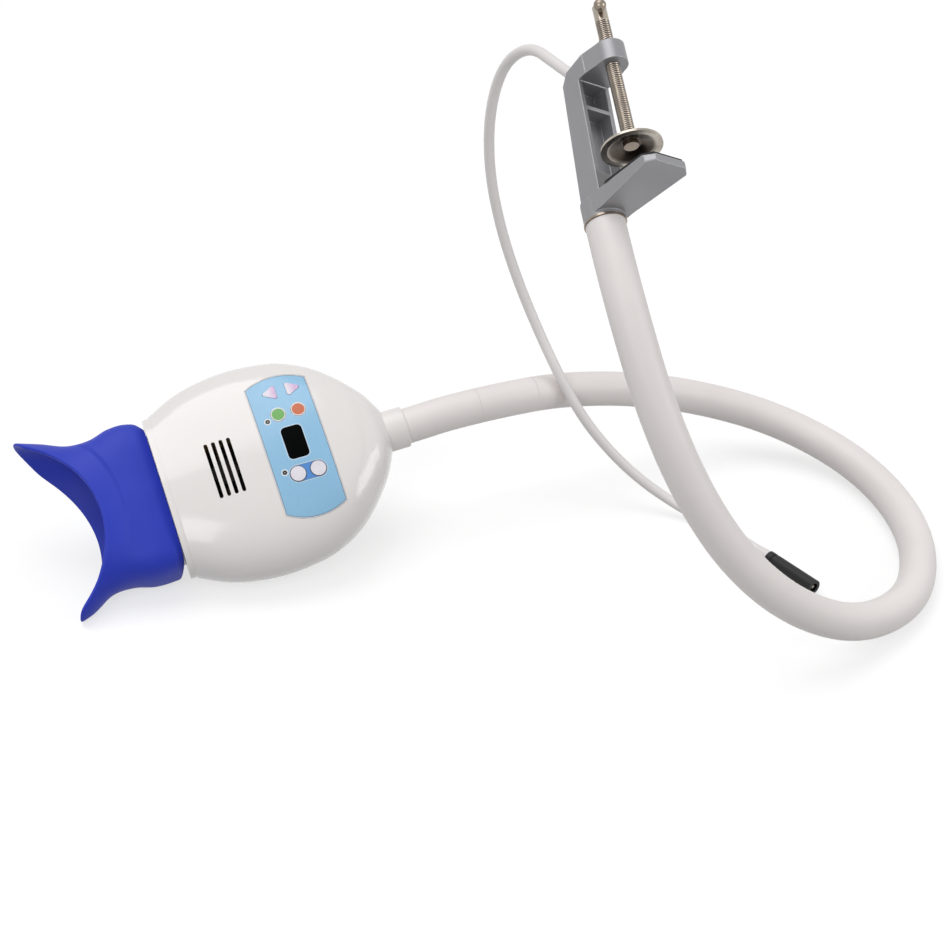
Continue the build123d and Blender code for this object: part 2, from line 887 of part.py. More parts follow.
pocket_depth = pocket_mouth - pocket_back
pocket_spans = [
    (pocket_bottom, pocket_rib_height),
    (pocket_rib_height + pocket_rib, pocket_top),
]

with BuildPart() as clamp_body:
    # Spine, leaning forward a little, bevelled behind the upper jaw
    with BuildSketch(side):
        with BuildLine():
            Polyline(
                (spine_back_low, jaw_bottom),
                (spine_back_high, clamp_top - bevel_top),
                (spine_back_high + bevel_back, clamp_top - bevel_back / 2),
                (shoulder_x, clamp_top),
                (shoulder_x, gap_top),
                (spine_front_high, gap_top),
                (spine_front_low, jaw_root),
                (spine_front_low, jaw_bottom),
                close=True,
            )
        make_face()
    extrude(amount=half_spine, both=True)
    # Upper jaw, rounded about the screw
    with BuildSketch(clamp.offset(gap_top)):
        with BuildLine():
            Line((shoulder_x - overrun, half_spine), (screw_x, eye_radius))
            CenterArc((screw_x, 0), eye_radius, 90, -180)
            Line((screw_x, -eye_radius), (shoulder_x - overrun, -half_spine))
            Line((shoulder_x - overrun, -half_spine), (shoulder_x - overrun, half_spine))
        make_face()
    extrude(amount=clamp_top - gap_top)
    # Lower jaw, a wedge that widens to its chamfered tip
    with BuildPart(mode=Mode.PRIVATE) as jaw:
        with BuildSketch(clamp.offset(jaw_bottom)):
            with BuildLine():
                Polyline(
                    (spine_back_low, -half_spine),
                    (spine_front_low, -half_spine),
                    (jaw_reach - jaw_chamfer, -half_jaw),
                    (jaw_reach, -half_jaw + jaw_chamfer),
                    (jaw_reach, half_jaw - jaw_chamfer),
                    (jaw_reach - jaw_chamfer, half_jaw),
                    (spine_front_low, half_spine),
                    (spine_back_low, half_spine),
                    close=True,
                )
            make_face()
        extrude(amount=jaw_root - jaw_bottom)
        with BuildSketch(side):
            with BuildLine():
                Polyline(
                    (spine_front_low, jaw_root),
                    (jaw_reach, jaw_tip),
                    (jaw_reach + overrun, jaw_tip),
                    (jaw_reach + overrun, jaw_root + overrun),
                    (spine_front_low, jaw_root + overrun),
                    close=True,
                )
            make_face()
        extrude(amount=jaw_width, both=True, mode=Mode.SUBTRACT)
        fillet(jaw.edges().group_by(Axis(clamp.origin, clamp.x_dir))[-3:-1], edge_round)
    add(jaw.part)
    # Boss that takes the arm
    with BuildSketch(clamp.offset(boss_bottom)):
        Circle(boss_radius)
    extrude(amount=jaw_root - boss_bottom)
    # Pockets in the spine, with one cross rib left standing
    with BuildSketch(side):
        for low, high in pocket_spans:
            with Locations((pocket_back + pocket_depth / 2, (low + high) / 2)):
                Rectangle(pocket_depth, high - low)
    extrude(amount=half_spine - pocket_wall, both=True, mode=Mode.SUBTRACT)
    # Screw bore, core bore and grub screw hole
    with BuildSketch(clamp.offset(gap_top - overrun)):
        with Locations((screw_x, 0)):
            Circle(screw_radius + running_gap)
    extrude(amount=clamp_top - gap_top + 2 * overrun, mode=Mode.SUBTRACT)
    with BuildSketch(clamp.offset(boss_bottom - overrun)):
        Circle(bore_radius)
    extrude(amount=jaw_root - pocket_wall - boss_bottom + overrun, mode=Mode.SUBTRACT)
    back_side = local_plane(clamp, (0, 0, grub_height), (-1, 0, 0), (0, 1, 0))
    with BuildSketch(back_side.offset(core_radius + slip_gap)):
        Circle(grub_radius + running_gap)
    extrude(amount=boss_radius, mode=Mode.SUBTRACT)

with BuildPart() as arm_ring:
    with BuildSketch(clamp.offset(boss_bottom - ring_height)):
        Circle(boss_radius + ring_proud)
        Circle(arm_radius, mode=Mode.SUBTRACT)
    extrude(amount=ring_height)

with BuildPart() as grub_screw:
    with BuildSketch(back_side.offset(core_radius + slip_gap)):
        Circle(grub_radius)
    extrude(amount=grub_length)

jaw_run = Vector(jaw_reach - spine_front_low, 0, jaw_tip - jaw_root)
jaw_slope = local_plane(
    clamp, (0, 0, jaw_root - spine_front_low * jaw_run.Z / jaw_run.X),
    (-jaw_run.Z, 0, jaw_run.X), (jaw_run.X, 0, jaw_run.Z),
)
pad_end = jaw_reach - jaw_pad_margin
pad_half = half_jaw - jaw_pad_margin
pad_start_half = half_spine - jaw_pad_margin / 2
with BuildPart() as jaw_pad:
    with BuildSketch(jaw_slope):
        with BuildLine():
            Polyline(
                (jaw_pad_start, -pad_start_half),
                (pad_end - jaw_chamfer, -pad_half),
                (pad_end, -pad_half + jaw_chamfer),
                (pad_end, pad_half - jaw_chamfer),
                (pad_end - jaw_chamfer, pad_half),
                (jaw_pad_start, pad_start_half),
                close=True,
            )
        make_face()
    extrude(amount=jaw_pad_thickness)

screw_line = local_plane(clamp, (screw_x, 0, 0), (0, 0, 1), (1, 0, 0))
bar_x = cos(radians(bar_turn))
bar_y = sin(radians(bar_turn))
bar_plane = local_plane(
    clamp, (screw_x, 0, bar_height), (bar_x, bar_y, 0), (-bar_y, bar_x, 0)
)
ball_seat = screw_radius + ball_radius

with BuildPart() as clamp_screw:
    with BuildSketch(screw_line.offset(screw_bottom)):
        Circle(screw_radius)
    extrude(amount=screw_top - screw_bottom)
    top_edge = clamp_screw.edges().group_by(Axis(screw_line.origin, screw_line.z_dir))[-1]
    chamfer(top_edge, screw_chamfer)
    with BuildSketch(bar_plane.offset(-2 * screw_radius)):
        Circle(bar_radius + slip_gap)
    extrude(amount=4 * screw_radius, mode=Mode.SUBTRACT)
    with BuildSketch(screw_line.offset(screw_bottom - overrun)):
        Circle(rivet_radius + running_gap)
    extrude(amount=overrun + rivet_hole_depth, mode=Mode.SUBTRACT)

with BuildPart() as tommy_bar:
    with BuildSketch(bar_plane.offset(ball_seat - bar_length)):
        Circle(bar_radius)
    extrude(amount=bar_length)
    for place in (ball_seat - bar_length, ball_seat):
        add(bar_plane.offset(place).location * Sphere(ball_radius, mode=Mode.PRIVATE))

disc_side = local_plane(clamp, (screw_x, 0, disc_height), (0, -1, 0), (1, 0, 0))
with BuildPart() as swivel_pad:
    with BuildSketch(disc_side) as profile:
        with BuildLine():
            hub = rivet_radius + seat_gap
            land = rivet_flange + disc_hub_width
            Polyline(
                (hub, disc_dish),
                (hub, disc_dish - disc_thickness),
                (land, disc_dish - disc_thickness),
                (disc_radius - disc_rim, -disc_thickness),
                (disc_radius, -disc_thickness),
                (disc_radius, 0),
                (disc_radius - disc_rim, 0),
                (land, disc_dish),
                close=True,
            )
        make_face()
    revolve(axis=Axis(screw_line.origin, screw_line.z_dir))

rivet_head_top = disc_height + disc_dish - disc_thickness - seat_gap
with BuildPart() as pad_rivet:
    with BuildSketch(screw_line.offset(rivet_head_top)):
        Circle(rivet_radius)
    extrude(amount=screw_bottom - rivet_head_top + rivet_grip)
    with BuildSketch(screw_line.offset(rivet_head_top)):
        Circle(rivet_flange)
    extrude(amount=-rivet_flange_thickness)

# Lead, with its grommet, strain relief and inline socket

socket_origin = Vector(*socket_start)
socket_run = Vector(*socket_end) - socket_origin
socket_axis = socket_run.normalized()
relief_start = socket_origin - socket_axis * relief_length
lead_points = [Vector(*p) for p in lead_route]
lead_points += [relief_start - socket_axis * lead_tail, relief_start]
lead_radii = corner_radii(lead_points, [corner_share] * (len(lead_points) - 2))
power_lead = tube(lead_points, lead_radii, lead_radius)

first_run = (lead_points[1] - lead_points[0]).normalized()
grommet_plane = Plane(origin=lead_points[0], z_dir=first_run * -1)
with BuildPart() as lead_grommet:
    with BuildSketch(grommet_plane):
        Circle(lead_radius + grommet_flare)
    with BuildSketch(grommet_plane.offset(grommet_length)):
        Circle(grommet_radius)
    loft()

relief_plane = Plane(origin=relief_start, z_dir=socket_axis)
with BuildPart() as lead_relief:
    with BuildSketch(relief_plane):
        Circle(lead_radius)
    with BuildSketch(relief_plane.offset(relief_length)):
        Circle(relief_radius)
    loft()

# Inline socket: a ring, a groove and a barrel with the contact pin in its open end
socket = Plane(origin=socket_origin, z_dir=socket_axis)
barrel_start = socket_ring_length + socket_groove_length
with BuildPart() as dc_socket:
    with BuildSketch(socket):
        Circle(socket_ring_radius)
    extrude(amount=socket_ring_length)
    with BuildSketch(socket.offset(socket_ring_length)):
        Circle(socket_ring_radius - socket_groove)
    extrude(amount=socket_groove_length)
    with BuildSketch(socket.offset(barrel_start)):
        Circle(socket_ring_radius)
    with BuildSketch(socket.offset(socket_run.length)):
        Circle(socket_radius)
    loft()
    with BuildSketch(socket.offset(socket_run.length - socket_bore_depth)):
        Circle(socket_bore_radius)
    extrude(amount=socket_bore_depth + overrun, mode=Mode.SUBTRACT)

with BuildPart() as socket_pin:
    with BuildSketch(socket.offset(socket_run.length - socket_bore_depth)):
        Circle(pin_radius)
    extrude(amount=pin_length)

pieces = {
    "upper_housing": upper_housing,
    "lower_housing": lower_housing,
    "housing_screws": housing_screws,
    "keypad_overlay": keypad_overlay,
    "display_window": display_window,
    "display_module": display_module,
    "indicator_lights": indicator_lights,
    "control_board": control_board,
    "key_switches": key_switches,
    "board_screws": board_screws,
    "cooling_fan": cooling_fan,
    "fan_rotor": fan_rotor,
    "nose_bezel": nose_bezel,
    "light_window": light_window,
    "heat_sink": heat_sink,
    "light_board": light_board,
    "light_emitters": light_emitters,
    "mouth_shield": mouth_shield,
    "neck_collar": neck_collar,
    "collar_nut": collar_nut,
    "arm_sleeve": arm_sleeve,
    "arm_core": arm_core,
    "swing_sleeve": swing_sleeve,
    "swing_core": swing_core,
    "link_sleeve": link_sleeve,
    "link_core": link_core,
    "tilt_sleeve": tilt_sleeve,
    "tilt_core": tilt_core,
    "clamp_body": clamp_body,
    "arm_ring": arm_ring,
    "grub_screw": grub_screw,
    "jaw_pad": jaw_pad,
    "clamp_screw": clamp_screw,
    "tommy_bar": tommy_bar,
    "swivel_pad": swivel_pad,
    "pad_rivet": pad_rivet,
    "lead_grommet": lead_grommet,
    "power_lead": power_lead,
    "lead_relief": lead_relief,
    "dc_socket": dc_socket,
    "socket_pin": socket_pin,
}
pieces.update(keys)

os.makedirs("parts", exist_ok=True)
for name, piece in pieces.items():
    piece.part.label = name
    export_step(piece.part, f"parts/{name}.step")
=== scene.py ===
# %% [markdown]
# A teeth whitening lamp lies on a table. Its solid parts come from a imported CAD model, in metres.
# This lesson adds what a CAD solid lacks: one smooth sleeve over the bendable arm, the lead as a
# soft curve, a soft shield, a screw thread, printed keys, and materials made only of nodes. Two
# helpers serve every mesh that follows.

from math import cos, exp, log, pi, radians, sin

import bmesh
import bpy
from mathutils import Matrix, Vector
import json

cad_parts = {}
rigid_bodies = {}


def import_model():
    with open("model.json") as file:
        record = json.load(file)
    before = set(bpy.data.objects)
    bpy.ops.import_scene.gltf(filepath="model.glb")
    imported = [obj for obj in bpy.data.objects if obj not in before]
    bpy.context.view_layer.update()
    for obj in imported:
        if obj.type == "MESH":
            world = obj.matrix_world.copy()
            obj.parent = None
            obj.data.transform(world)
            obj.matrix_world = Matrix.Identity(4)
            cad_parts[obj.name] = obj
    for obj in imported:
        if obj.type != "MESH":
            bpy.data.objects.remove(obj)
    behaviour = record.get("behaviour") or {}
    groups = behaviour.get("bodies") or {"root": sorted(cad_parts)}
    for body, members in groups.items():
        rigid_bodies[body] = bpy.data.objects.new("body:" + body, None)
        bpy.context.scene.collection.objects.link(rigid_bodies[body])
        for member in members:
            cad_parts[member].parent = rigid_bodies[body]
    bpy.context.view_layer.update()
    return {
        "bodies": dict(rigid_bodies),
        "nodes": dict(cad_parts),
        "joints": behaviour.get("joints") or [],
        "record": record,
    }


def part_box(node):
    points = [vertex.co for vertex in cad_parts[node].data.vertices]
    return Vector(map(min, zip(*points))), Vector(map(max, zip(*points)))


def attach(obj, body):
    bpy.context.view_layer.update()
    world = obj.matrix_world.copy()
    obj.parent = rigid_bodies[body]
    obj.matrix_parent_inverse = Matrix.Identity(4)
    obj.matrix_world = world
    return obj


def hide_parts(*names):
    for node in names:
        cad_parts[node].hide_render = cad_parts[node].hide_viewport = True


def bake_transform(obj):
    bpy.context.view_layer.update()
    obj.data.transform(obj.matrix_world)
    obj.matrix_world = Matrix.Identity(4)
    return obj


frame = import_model()
nodes = frame["nodes"]
scene = bpy.context.scene
MM = 0.001


def new_piece(name, mesh, smooth_below=None):
    """Turns a mesh in the making into an object, smooth below an angle in degrees."""
    data = bpy.data.meshes.new(name)
    mesh.to_mesh(data)
    mesh.free()
    if smooth_below:
        data.shade_smooth()
        data.set_sharp_from_angle(angle=radians(smooth_below))
    piece = bpy.data.objects.new(name, data)
    scene.collection.objects.link(piece)
    return piece


def join_rings(mesh, low, high):
    """A band of faces between two closed rings of points."""
    for k in range(len(low)):
        nxt = (k + 1) % len(low)
        mesh.faces.new((low[k], low[nxt], high[nxt], high[k]))


print("CAD nodes:", len(nodes))

# %% [markdown]
# The photograph looks down on the table from the front, through a long lens. A long lens is a
# narrow one: the focal length is given in image widths, which Blender wants in millimetres of a
# 36 mm sensor.

# %% Camera
IMAGE_WIDTH = 949.0
FOCAL_PIXELS = 2100.0
SENSOR = 36.0
DOWN_TILT = radians(34.0)
EYE = Vector((-0.0037, -1.0668, 0.7842))

camera = bpy.data.objects.new("camera", bpy.data.cameras.new("camera"))
camera.data.sensor_width = SENSOR
camera.data.lens = SENSOR * FOCAL_PIXELS / IMAGE_WIDTH
camera.data.clip_end = 20.0
camera.location = EYE
camera.rotation_euler = (pi / 2 - DOWN_TILT, 0.0, 0.0)
scene.collection.objects.link(camera)
scene.camera = camera
print("lens", round(camera.data.lens, 1), "mm")

# %% [markdown]
# The lead is a thin sheathed cable that leaves the back of the clamp, arches over and lies on the
# table in an inline socket. A NURBS curve is right for it: it is drawn smoothly through the air
# from a few points that pull on it, and a round bevel gives it its thickness. A curve's own box
# reaches one point radius past its points, so the thickness is the points' radius, with a bevel
# of 1.

# %% Lead
LEAD_ROUTE = [
    (54.2, 39.9, 305.8),
    (42.3, 59.6, 307.1),
    (28.8, 83.1, 308.0),
    (13.8, 100.1, 290.5),
    (5.3, 108.6, 256.5),
    (5.1, 110.3, 216.5),
    (12.3, 108.1, 177.5),
    (23.8, 101.6, 142.0),
    (37.5, 91.7, 110.5),
    (51.6, 76.4, 84.8),
    (66.3, 66.6, 61.0),
    (84.3, 62.1, 38.5),
    (104.3, 57.1, 20.0),
    (126.3, 48.6, 7.5),
    (147.3, 32.6, 3.9),
    (162.33, 17.32, 5.0),
    (172.74, 3.88, 5.0),
]
LEAD_RADIUS = 0.0033


def route_curve(name, route, radius):
    """An open NURBS curve pulled along a route given in millimetres."""
    curve = bpy.data.curves.new(name, "CURVE")
    curve.dimensions = "3D"
    spline = curve.splines.new("NURBS")
    spline.points.add(len(route) - 1)
    for point, place in zip(spline.points, route):
        point.co = (*(Vector(place) * MM), 1.0)
        point.radius = radius
    spline.order_u = 3
    spline.use_endpoint_u = True
    curve.resolution_u = 16
    curve.bevel_depth = 1.0 if radius else 0.0
    curve.bevel_resolution = 6
    curve.use_fill_caps = True
    piece = bpy.data.objects.new(name, curve)
    scene.collection.objects.link(piece)
    return piece


def curve_points(route):
    """The points along such a curve, as Blender works them out."""
    guide = route_curve("guide", route, 0.0)
    guide.data.resolution_u = 24
    mesh = bpy.data.meshes.new_from_object(guide)
    points = [v.co.copy() for v in mesh.vertices]
    bpy.data.meshes.remove(mesh)
    bpy.data.objects.remove(guide)
    return points


lead = route_curve("lead", LEAD_ROUTE, LEAD_RADIUS)
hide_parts("power_lead")
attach(lead, "stand")
lead_points = curve_points(LEAD_ROUTE)

# %% [markdown]
# Two small frames make the rest easier. The head lies tilted on the table and the clamp stands
# askew in the air, so each has its own axes: places on them are given in millimetres along, across
# and up, and a matrix turns them into places on the table.

# %% Frames of the head and of the clamp


def own_frame(origin, x_axis, z_axis):
    """A matrix from millimetres along own axes to metres on the table."""
    z = Vector(z_axis).normalized()
    x = Vector(x_axis)
    x = (x - z * x.dot(z)).normalized()
    y = z.cross(x)
    turn = Matrix((x, y, z)).transposed().to_4x4()
    return Matrix.Translation(Vector(origin) * MM) @ turn @ Matrix.Scale(MM, 4)


HEAD = own_frame((-135.4, 16.7, 55.79), (-0.9426, -0.2973, -0.1518), (0.0465, -0.5672, 0.8223))
CLAMP = own_frame((67.7, -38.8, 256.0), (0.5759, -0.3309, 0.7476), (-0.1619, 0.8502, 0.501))
print("head at", HEAD.translation, "clamp at", CLAMP.translation)

# %% [markdown]
# The arm's sleeve is one smooth tube on the real lamp. Here it is three pieces that meet on
# straight stretches: the two bends beside the head are pieces of their own, though they are not
# attached to the head's joints. The steel core inside the bends is made the same way, so that it
# never pokes out of the sleeve. A tube is a row of circles along a path; each circle's frame is
# carried from the one before, so the tube doesn't twist.

# %% Sleeve of the arm
SLEEVE_RADIUS = 0.01125
CORE_RADIUS = 0.0065
ARM_ROUTE = [
    (67.98, -40.25, 255.15),
    (70.3, -52.2, 248.1),
    (78.9, -79.9, 222.8),
    (94.3, -107.0, 178.6),
    (116.1, -121.0, 131.1),
    (145.3, -124.5, 85.6),
    (182.4, -116.2, 47.3),
    (224.4, -95.4, 20.4),
    (261.6, -58.4, 11.8),
    (274.8, -6.3, 11.8),
    (268.0, 47.3, 11.8),
    (243.5, 95.3, 14.3),
    (199.6, 123.6, 25.0),
    (148.5, 123.3, 42.2),
    (99.2, 108.2, 59.0),
    (51.1, 86.6, 71.4),
    (14.3, 68.6, 74.8),
    (-21.7, 54.1, 73.7),
    (-37.04, 47.72, 71.63),
    (-50.1, 43.6, 69.5),
]
SLEEVE_STEP = 0.003


def even_points(points, step):
    """The same line with its points an even step apart."""
    spaced = [points[0]]
    rest = step
    for a, b in zip(points, points[1:]):
        run = (b - a).length
        while rest <= run:
            spaced.append(a.lerp(b, rest / run))
            rest += step
        rest -= run
    if (spaced[-1] - points[-1]).length > step / 2:
        spaced.append(points[-1])
    return spaced


def tube_mesh(name, points, radius, sides=48):
    """A round tube along points."""
    mesh = bmesh.new()
    across = (points[1] - points[0]).normalized().orthogonal().normalized()
    rings = []
    for i, point in enumerate(points):
        ahead = (points[min(i + 1, len(points) - 1)] - points[max(i - 1, 0)]).normalized()
        across = (across - ahead * across.dot(ahead)).normalized()
        side = ahead.cross(across)
        ring = []
        for k in range(sides):
            turn = 2 * pi * k / sides
            ring.append(mesh.verts.new(point + (across * cos(turn) + side * sin(turn)) * radius))
        rings.append(ring)
    for low, high in zip(rings, rings[1:]):
        join_rings(mesh, low, high)
    return new_piece(name, mesh, 180.0)


arm_line = even_points(curve_points(ARM_ROUTE), SLEEVE_STEP)


def nearest_index(place):
    """Which point of the arm's line lies nearest a place in millimetres."""
    target = Vector(place) * MM
    return min(range(len(arm_line)), key=lambda i: (arm_line[i] - target).length)


arm_cut = nearest_index((32.7, 77.6, 73.1))
link_middle = nearest_index((-3.7, 61.35, 74.25))
swing_line = arm_line[arm_cut : link_middle + 1]
tilt_line = arm_line[link_middle:]
swing_bend = (arm_line[arm_cut + 1], arm_line[nearest_index((1.3, 63.4, 74.4))])
tilt_bend = [arm_line[nearest_index(p)] for p in ((-8.7, 59.3, 74.1), (-39.7, 46.9, 71.1))]


def bent_tube(name, points, radius, slot, bodies, bend, *replaced):
    """A tube along points, left in place, that hides the CAD parts it stands for."""
    piece = tube_mesh(name, points, radius)
    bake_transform(piece)
    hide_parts(*replaced)


sleeve_arm = tube_mesh("sleeve_arm", arm_line[: arm_cut + 1], SLEEVE_RADIUS)
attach(sleeve_arm, "stand")
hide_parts("arm_sleeve")
bent_tube("sleeve_swing", swing_line, SLEEVE_RADIUS, "sleeve_white", ("stand", "neck_link"),
          swing_bend, "swing_sleeve", "link_sleeve")
bent_tube("sleeve_tilt", tilt_line, SLEEVE_RADIUS, "sleeve_white", ("neck_link", "head"),
          tilt_bend, "tilt_sleeve")
bent_tube("core_swing", swing_line, CORE_RADIUS, "steel", ("stand", "neck_link"),
          swing_bend, "swing_core", "link_core")
bent_tube("core_tilt", tilt_line, CORE_RADIUS, "steel", ("neck_link", "head"),
          tilt_bend, "tilt_core")
print("sleeve points", len(arm_line), "cut at", arm_cut, link_middle)

# %% [markdown]
# The shield is a soft rubber funnel whose lip ends in two rounded wings. A mesh of rings follows
# it better than a cut solid: each ring runs through one row of points, from the base on the nose
# to the rim, then over the rounded edge and back along the inside. A table gives the funnel's
# sections. The rim of each row is found by halving steps: it is the lesser of a hollow, which
# fits a face, and the rounded end of a wing, with a soft change from one to the other.

# %% Shield: the funnel's sections
NOSE_ALONG = 57.96
NOSE_UP = -1.5
SHIELD_BASE = NOSE_ALONG + 4.5
SHIELD_LENGTH = 79.0
TABLE_END = 1.04
# share of the length, half width, half height, squareness, shift across
SECTIONS = (
    (0.0, 45.3, 21.3, 4.2, 0.0),
    (0.05, 49.0, 23.22, 4.2, -0.6),
    (0.13, 50.9, 24.22, 3.99, -1.4),
    (0.27, 51.3, 24.41, 3.61, -1.7),
    (0.43, 48.7, 24.81, 2.9, -1.7),
    (0.6, 49.8, 26.84, 2.3, -1.8),
    (0.8, 57.8, 30.2, 2.2, -0.4),
    (1.0, 64.0, 31.0, 2.3, 0.0),
)


def smooth_table(rows, share):
    """Values between the rows of a table, on a curve that is smooth through each row."""
    share = min(share, TABLE_END)
    i = max(k for k in range(len(rows) - 1) if rows[k][0] <= share)
    left, right = rows[i], rows[i + 1]
    span = right[0] - left[0]
    t = (share - left[0]) / span
    values = []
    for column in range(1, len(left)):
        slope = (right[column] - left[column]) / span
        start = end = slope
        if i > 0:
            before = rows[i - 1]
            gap = left[0] - before[0]
            earlier = (left[column] - before[column]) / gap
            start = (earlier * span + slope * gap) / (gap + span)
        if i + 2 < len(rows):
            after = rows[i + 2]
            gap = after[0] - right[0]
            later = (after[column] - right[column]) / gap
            end = (slope * gap + later * span) / (gap + span)
        if t > 1.0:
            values.append(right[column] + end * span * (t - 1.0))
            continue
        low, high = left[column], right[column]
        a = (2 * t**3 - 3 * t**2 + 1) * low + (3 * t**2 - 2 * t**3) * high
        b = (t**3 - 2 * t**2 + t) * span * start + (t**3 - t**2) * span * end
        values.append(a + b)
    return values


def funnel_point(along, turn, inset=0.0):
    """A place on the funnel's skin; turn runs from 0 to 4, a quarter of the way round each."""
    share = (along - SHIELD_BASE) / SHIELD_LENGTH
    wide, high, power, shift = smooth_table(SECTIONS, share)
    wide, high = wide - inset, high - inset
    pull = (8.0 * 2.0 ** (-1.0 / power) - 4.0) / 3.0
    quarter, t = int(turn) % 4, turn - int(turn)
    if quarter in (1, 3):
        t = 1.0 - t
    u = 1.0 - t
    across = wide * (u**3 + 3 * u * u * t + 3 * u * t * t * pull)
    up = high * (3 * u * u * t * pull + 3 * u * t * t + t**3)
    across *= -1.0 if quarter in (1, 2) else 1.0
    up *= -1.0 if quarter in (2, 3) else 1.0
    return Vector((along, across + shift, up + NOSE_UP))


# %% Shield: the rim with its wings
RIM_REACH = 43.5
WING_REACH = 38.0
WING_WIDTH = 61.5
RIM_LEAN = 0.1495
RIM_YAW = 0.075
WING_END = 137.3
WING_ROUND_ALONG = 12.0
WING_ROUND_UP = 24.0
RIM_SOFT = 1.2
WIDEST = 0.96
RIM_SEARCH = (20.0, 8.0)
RIM_RADIUS = (WING_WIDTH**2 + WING_REACH**2) / (2 * WING_REACH)
RIM_CENTRE = SHIELD_BASE + RIM_REACH + RIM_RADIUS


def rim_along(point):
    """How far along the rim lies at this height and width."""
    up = point.z - NOSE_UP
    width = min(abs(point.y), RIM_RADIUS * WIDEST)
    hollow = RIM_CENTRE - (RIM_RADIUS**2 - width**2) ** 0.5 - RIM_LEAN * up
    wing = WING_END - WING_ROUND_ALONG * (up / WING_ROUND_UP) ** 2
    lesser = -RIM_SOFT * log(exp(-hollow / RIM_SOFT) + exp(-wing / RIM_SOFT))
    return lesser - RIM_YAW * point.y


def find_rim(turn):
    low, high = SHIELD_BASE + RIM_SEARCH[0], WING_END + RIM_SEARCH[1]
    for _ in range(30):
        middle = (low + high) / 2
        if middle < rim_along(funnel_point(middle, turn)):
            low = middle
        else:
            high = middle
    return low


# %% Shield: skin, edge and inside
SHIELD_TURNS = 128
SHIELD_STEPS = 44
WALL = 3.0
LIP_WALL = 2.4
LIP_ANGLES = (0.2, 0.4, 0.6, 0.8)
GRIP_LENGTH = 16.0
BASE_CORNER = 10.6
GRIP_HALF_WIDTH = 42.3
GRIP_HALF_HEIGHT = 18.3
TABLE_BEND = 0.004


def inside_point(along, turn):
    """The inside of the wall: the nose's outline in the grip, and one wall in from the skin."""
    share = (along - SHIELD_BASE) / SHIELD_LENGTH
    wall = WALL + (LIP_WALL - WALL) * max(0.0, min(1.0, share))
    place = funnel_point(along, turn, wall)
    if along < SHIELD_BASE + GRIP_LENGTH:
        base = funnel_point(SHIELD_BASE, turn)
        place.y = base.y * GRIP_HALF_WIDTH / SECTIONS[0][1]
        place.z = (base.z - NOSE_UP) * GRIP_HALF_HEIGHT / SECTIONS[0][2] + NOSE_UP
    return place


def on_table(place):
    """Soft rubber bends up where it would reach through the table."""
    if place.z < TABLE_BEND:
        place.z = TABLE_BEND * exp(place.z / TABLE_BEND - 1.0)
    return place


def make_shield():
    """The whole shield; its base is cut back toward the underside."""
    mesh = bmesh.new()
    columns = []
    for k in range(SHIELD_TURNS):
        turn = 4.0 * k / SHIELD_TURNS
        rim = find_rim(turn) - LIP_WALL / 2
        base_row = funnel_point(SHIELD_BASE, turn)
        low_share = (SECTIONS[0][2] - (base_row.z - NOSE_UP)) / (2 * SECTIONS[0][2])
        base = SHIELD_BASE + BASE_CORNER * low_share**2
        row = [base + (rim - base) * (i / SHIELD_STEPS) for i in range(SHIELD_STEPS + 1)]
        places = [funnel_point(along, turn) for along in row]
        outer, inner = funnel_point(rim, turn), inside_point(rim, turn)
        ahead = (outer - funnel_point(rim - 1.0, turn)).normalized()
        middle, half = (outer + inner) / 2, (outer - inner) / 2
        for angle in LIP_ANGLES:
            lift = ahead * half.length * sin(pi * angle)
            places.append(middle + half * cos(pi * angle) + lift)
        places += [inside_point(along, turn) for along in reversed(row)]
        columns.append([mesh.verts.new(on_table(HEAD @ place)) for place in places])
    for k in range(SHIELD_TURNS):
        join_rings(mesh, columns[k], columns[(k + 1) % SHIELD_TURNS])
    bmesh.ops.recalc_face_normals(mesh, faces=mesh.faces[:])
    return new_piece("shield_skin", mesh, 50.0)


shield_skin = make_shield()
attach(shield_skin, "mouth_shield")
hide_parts("mouth_shield")
print("shield faces", len(shield_skin.data.polygons))

# %% [markdown]
# The clamp's screw has a fine thread, which a plain cylinder can't show. A thread is one long
# ridge wound round the rod, so the mesh is a sheet of four lines of points that follow the helix:
# crest, crest, root, root. Its ends are cut square, and the CAD model keeps the rod's two ends.

# %% Thread of the clamp screw
SCREW_ALONG = 32.0
SCREW_RADIUS = 4.0
THREAD_PITCH = 1.25
THREAD_DEPTH = 0.5
THREAD_LOW = 36.5
THREAD_HIGH = 113.0
THREAD_LINES = ((0.0, 0.0), (0.22, 0.0), (0.5, 1.0), (0.7, 1.0))
THREAD_SIDES = 40
THREAD_CREST = SCREW_RADIUS - 0.01


def clamp_point(radius, angle, height):
    """A place round the screw, in metres on the table."""
    return CLAMP @ Vector((SCREW_ALONG + radius * cos(angle), radius * sin(angle), height))


def add_thread(mesh):
    turns = int((THREAD_HIGH - THREAD_LOW) / THREAD_PITCH) + 3
    rows = []
    for turn in range(turns):
        for share, depth in THREAD_LINES:
            row = []
            for k in range(THREAD_SIDES):
                angle = 2 * pi * k / THREAD_SIDES
                height = THREAD_LOW + THREAD_PITCH * (turn - 1 + share + k / THREAD_SIDES)
                radius = THREAD_CREST - THREAD_DEPTH * depth
                row.append(mesh.verts.new(clamp_point(radius, angle, height)))
            rows.append(row)
    lines = len(THREAD_LINES)
    for i in range(len(rows) - lines - 1):
        for k in range(THREAD_SIDES):
            if k + 1 < THREAD_SIDES:
                low, high = rows[i][k + 1], rows[i + 1][k + 1]
            else:
                low, high = rows[i + lines][0], rows[i + 1 + lines][0]
            mesh.faces.new((rows[i][k], low, high, rows[i + 1][k]))


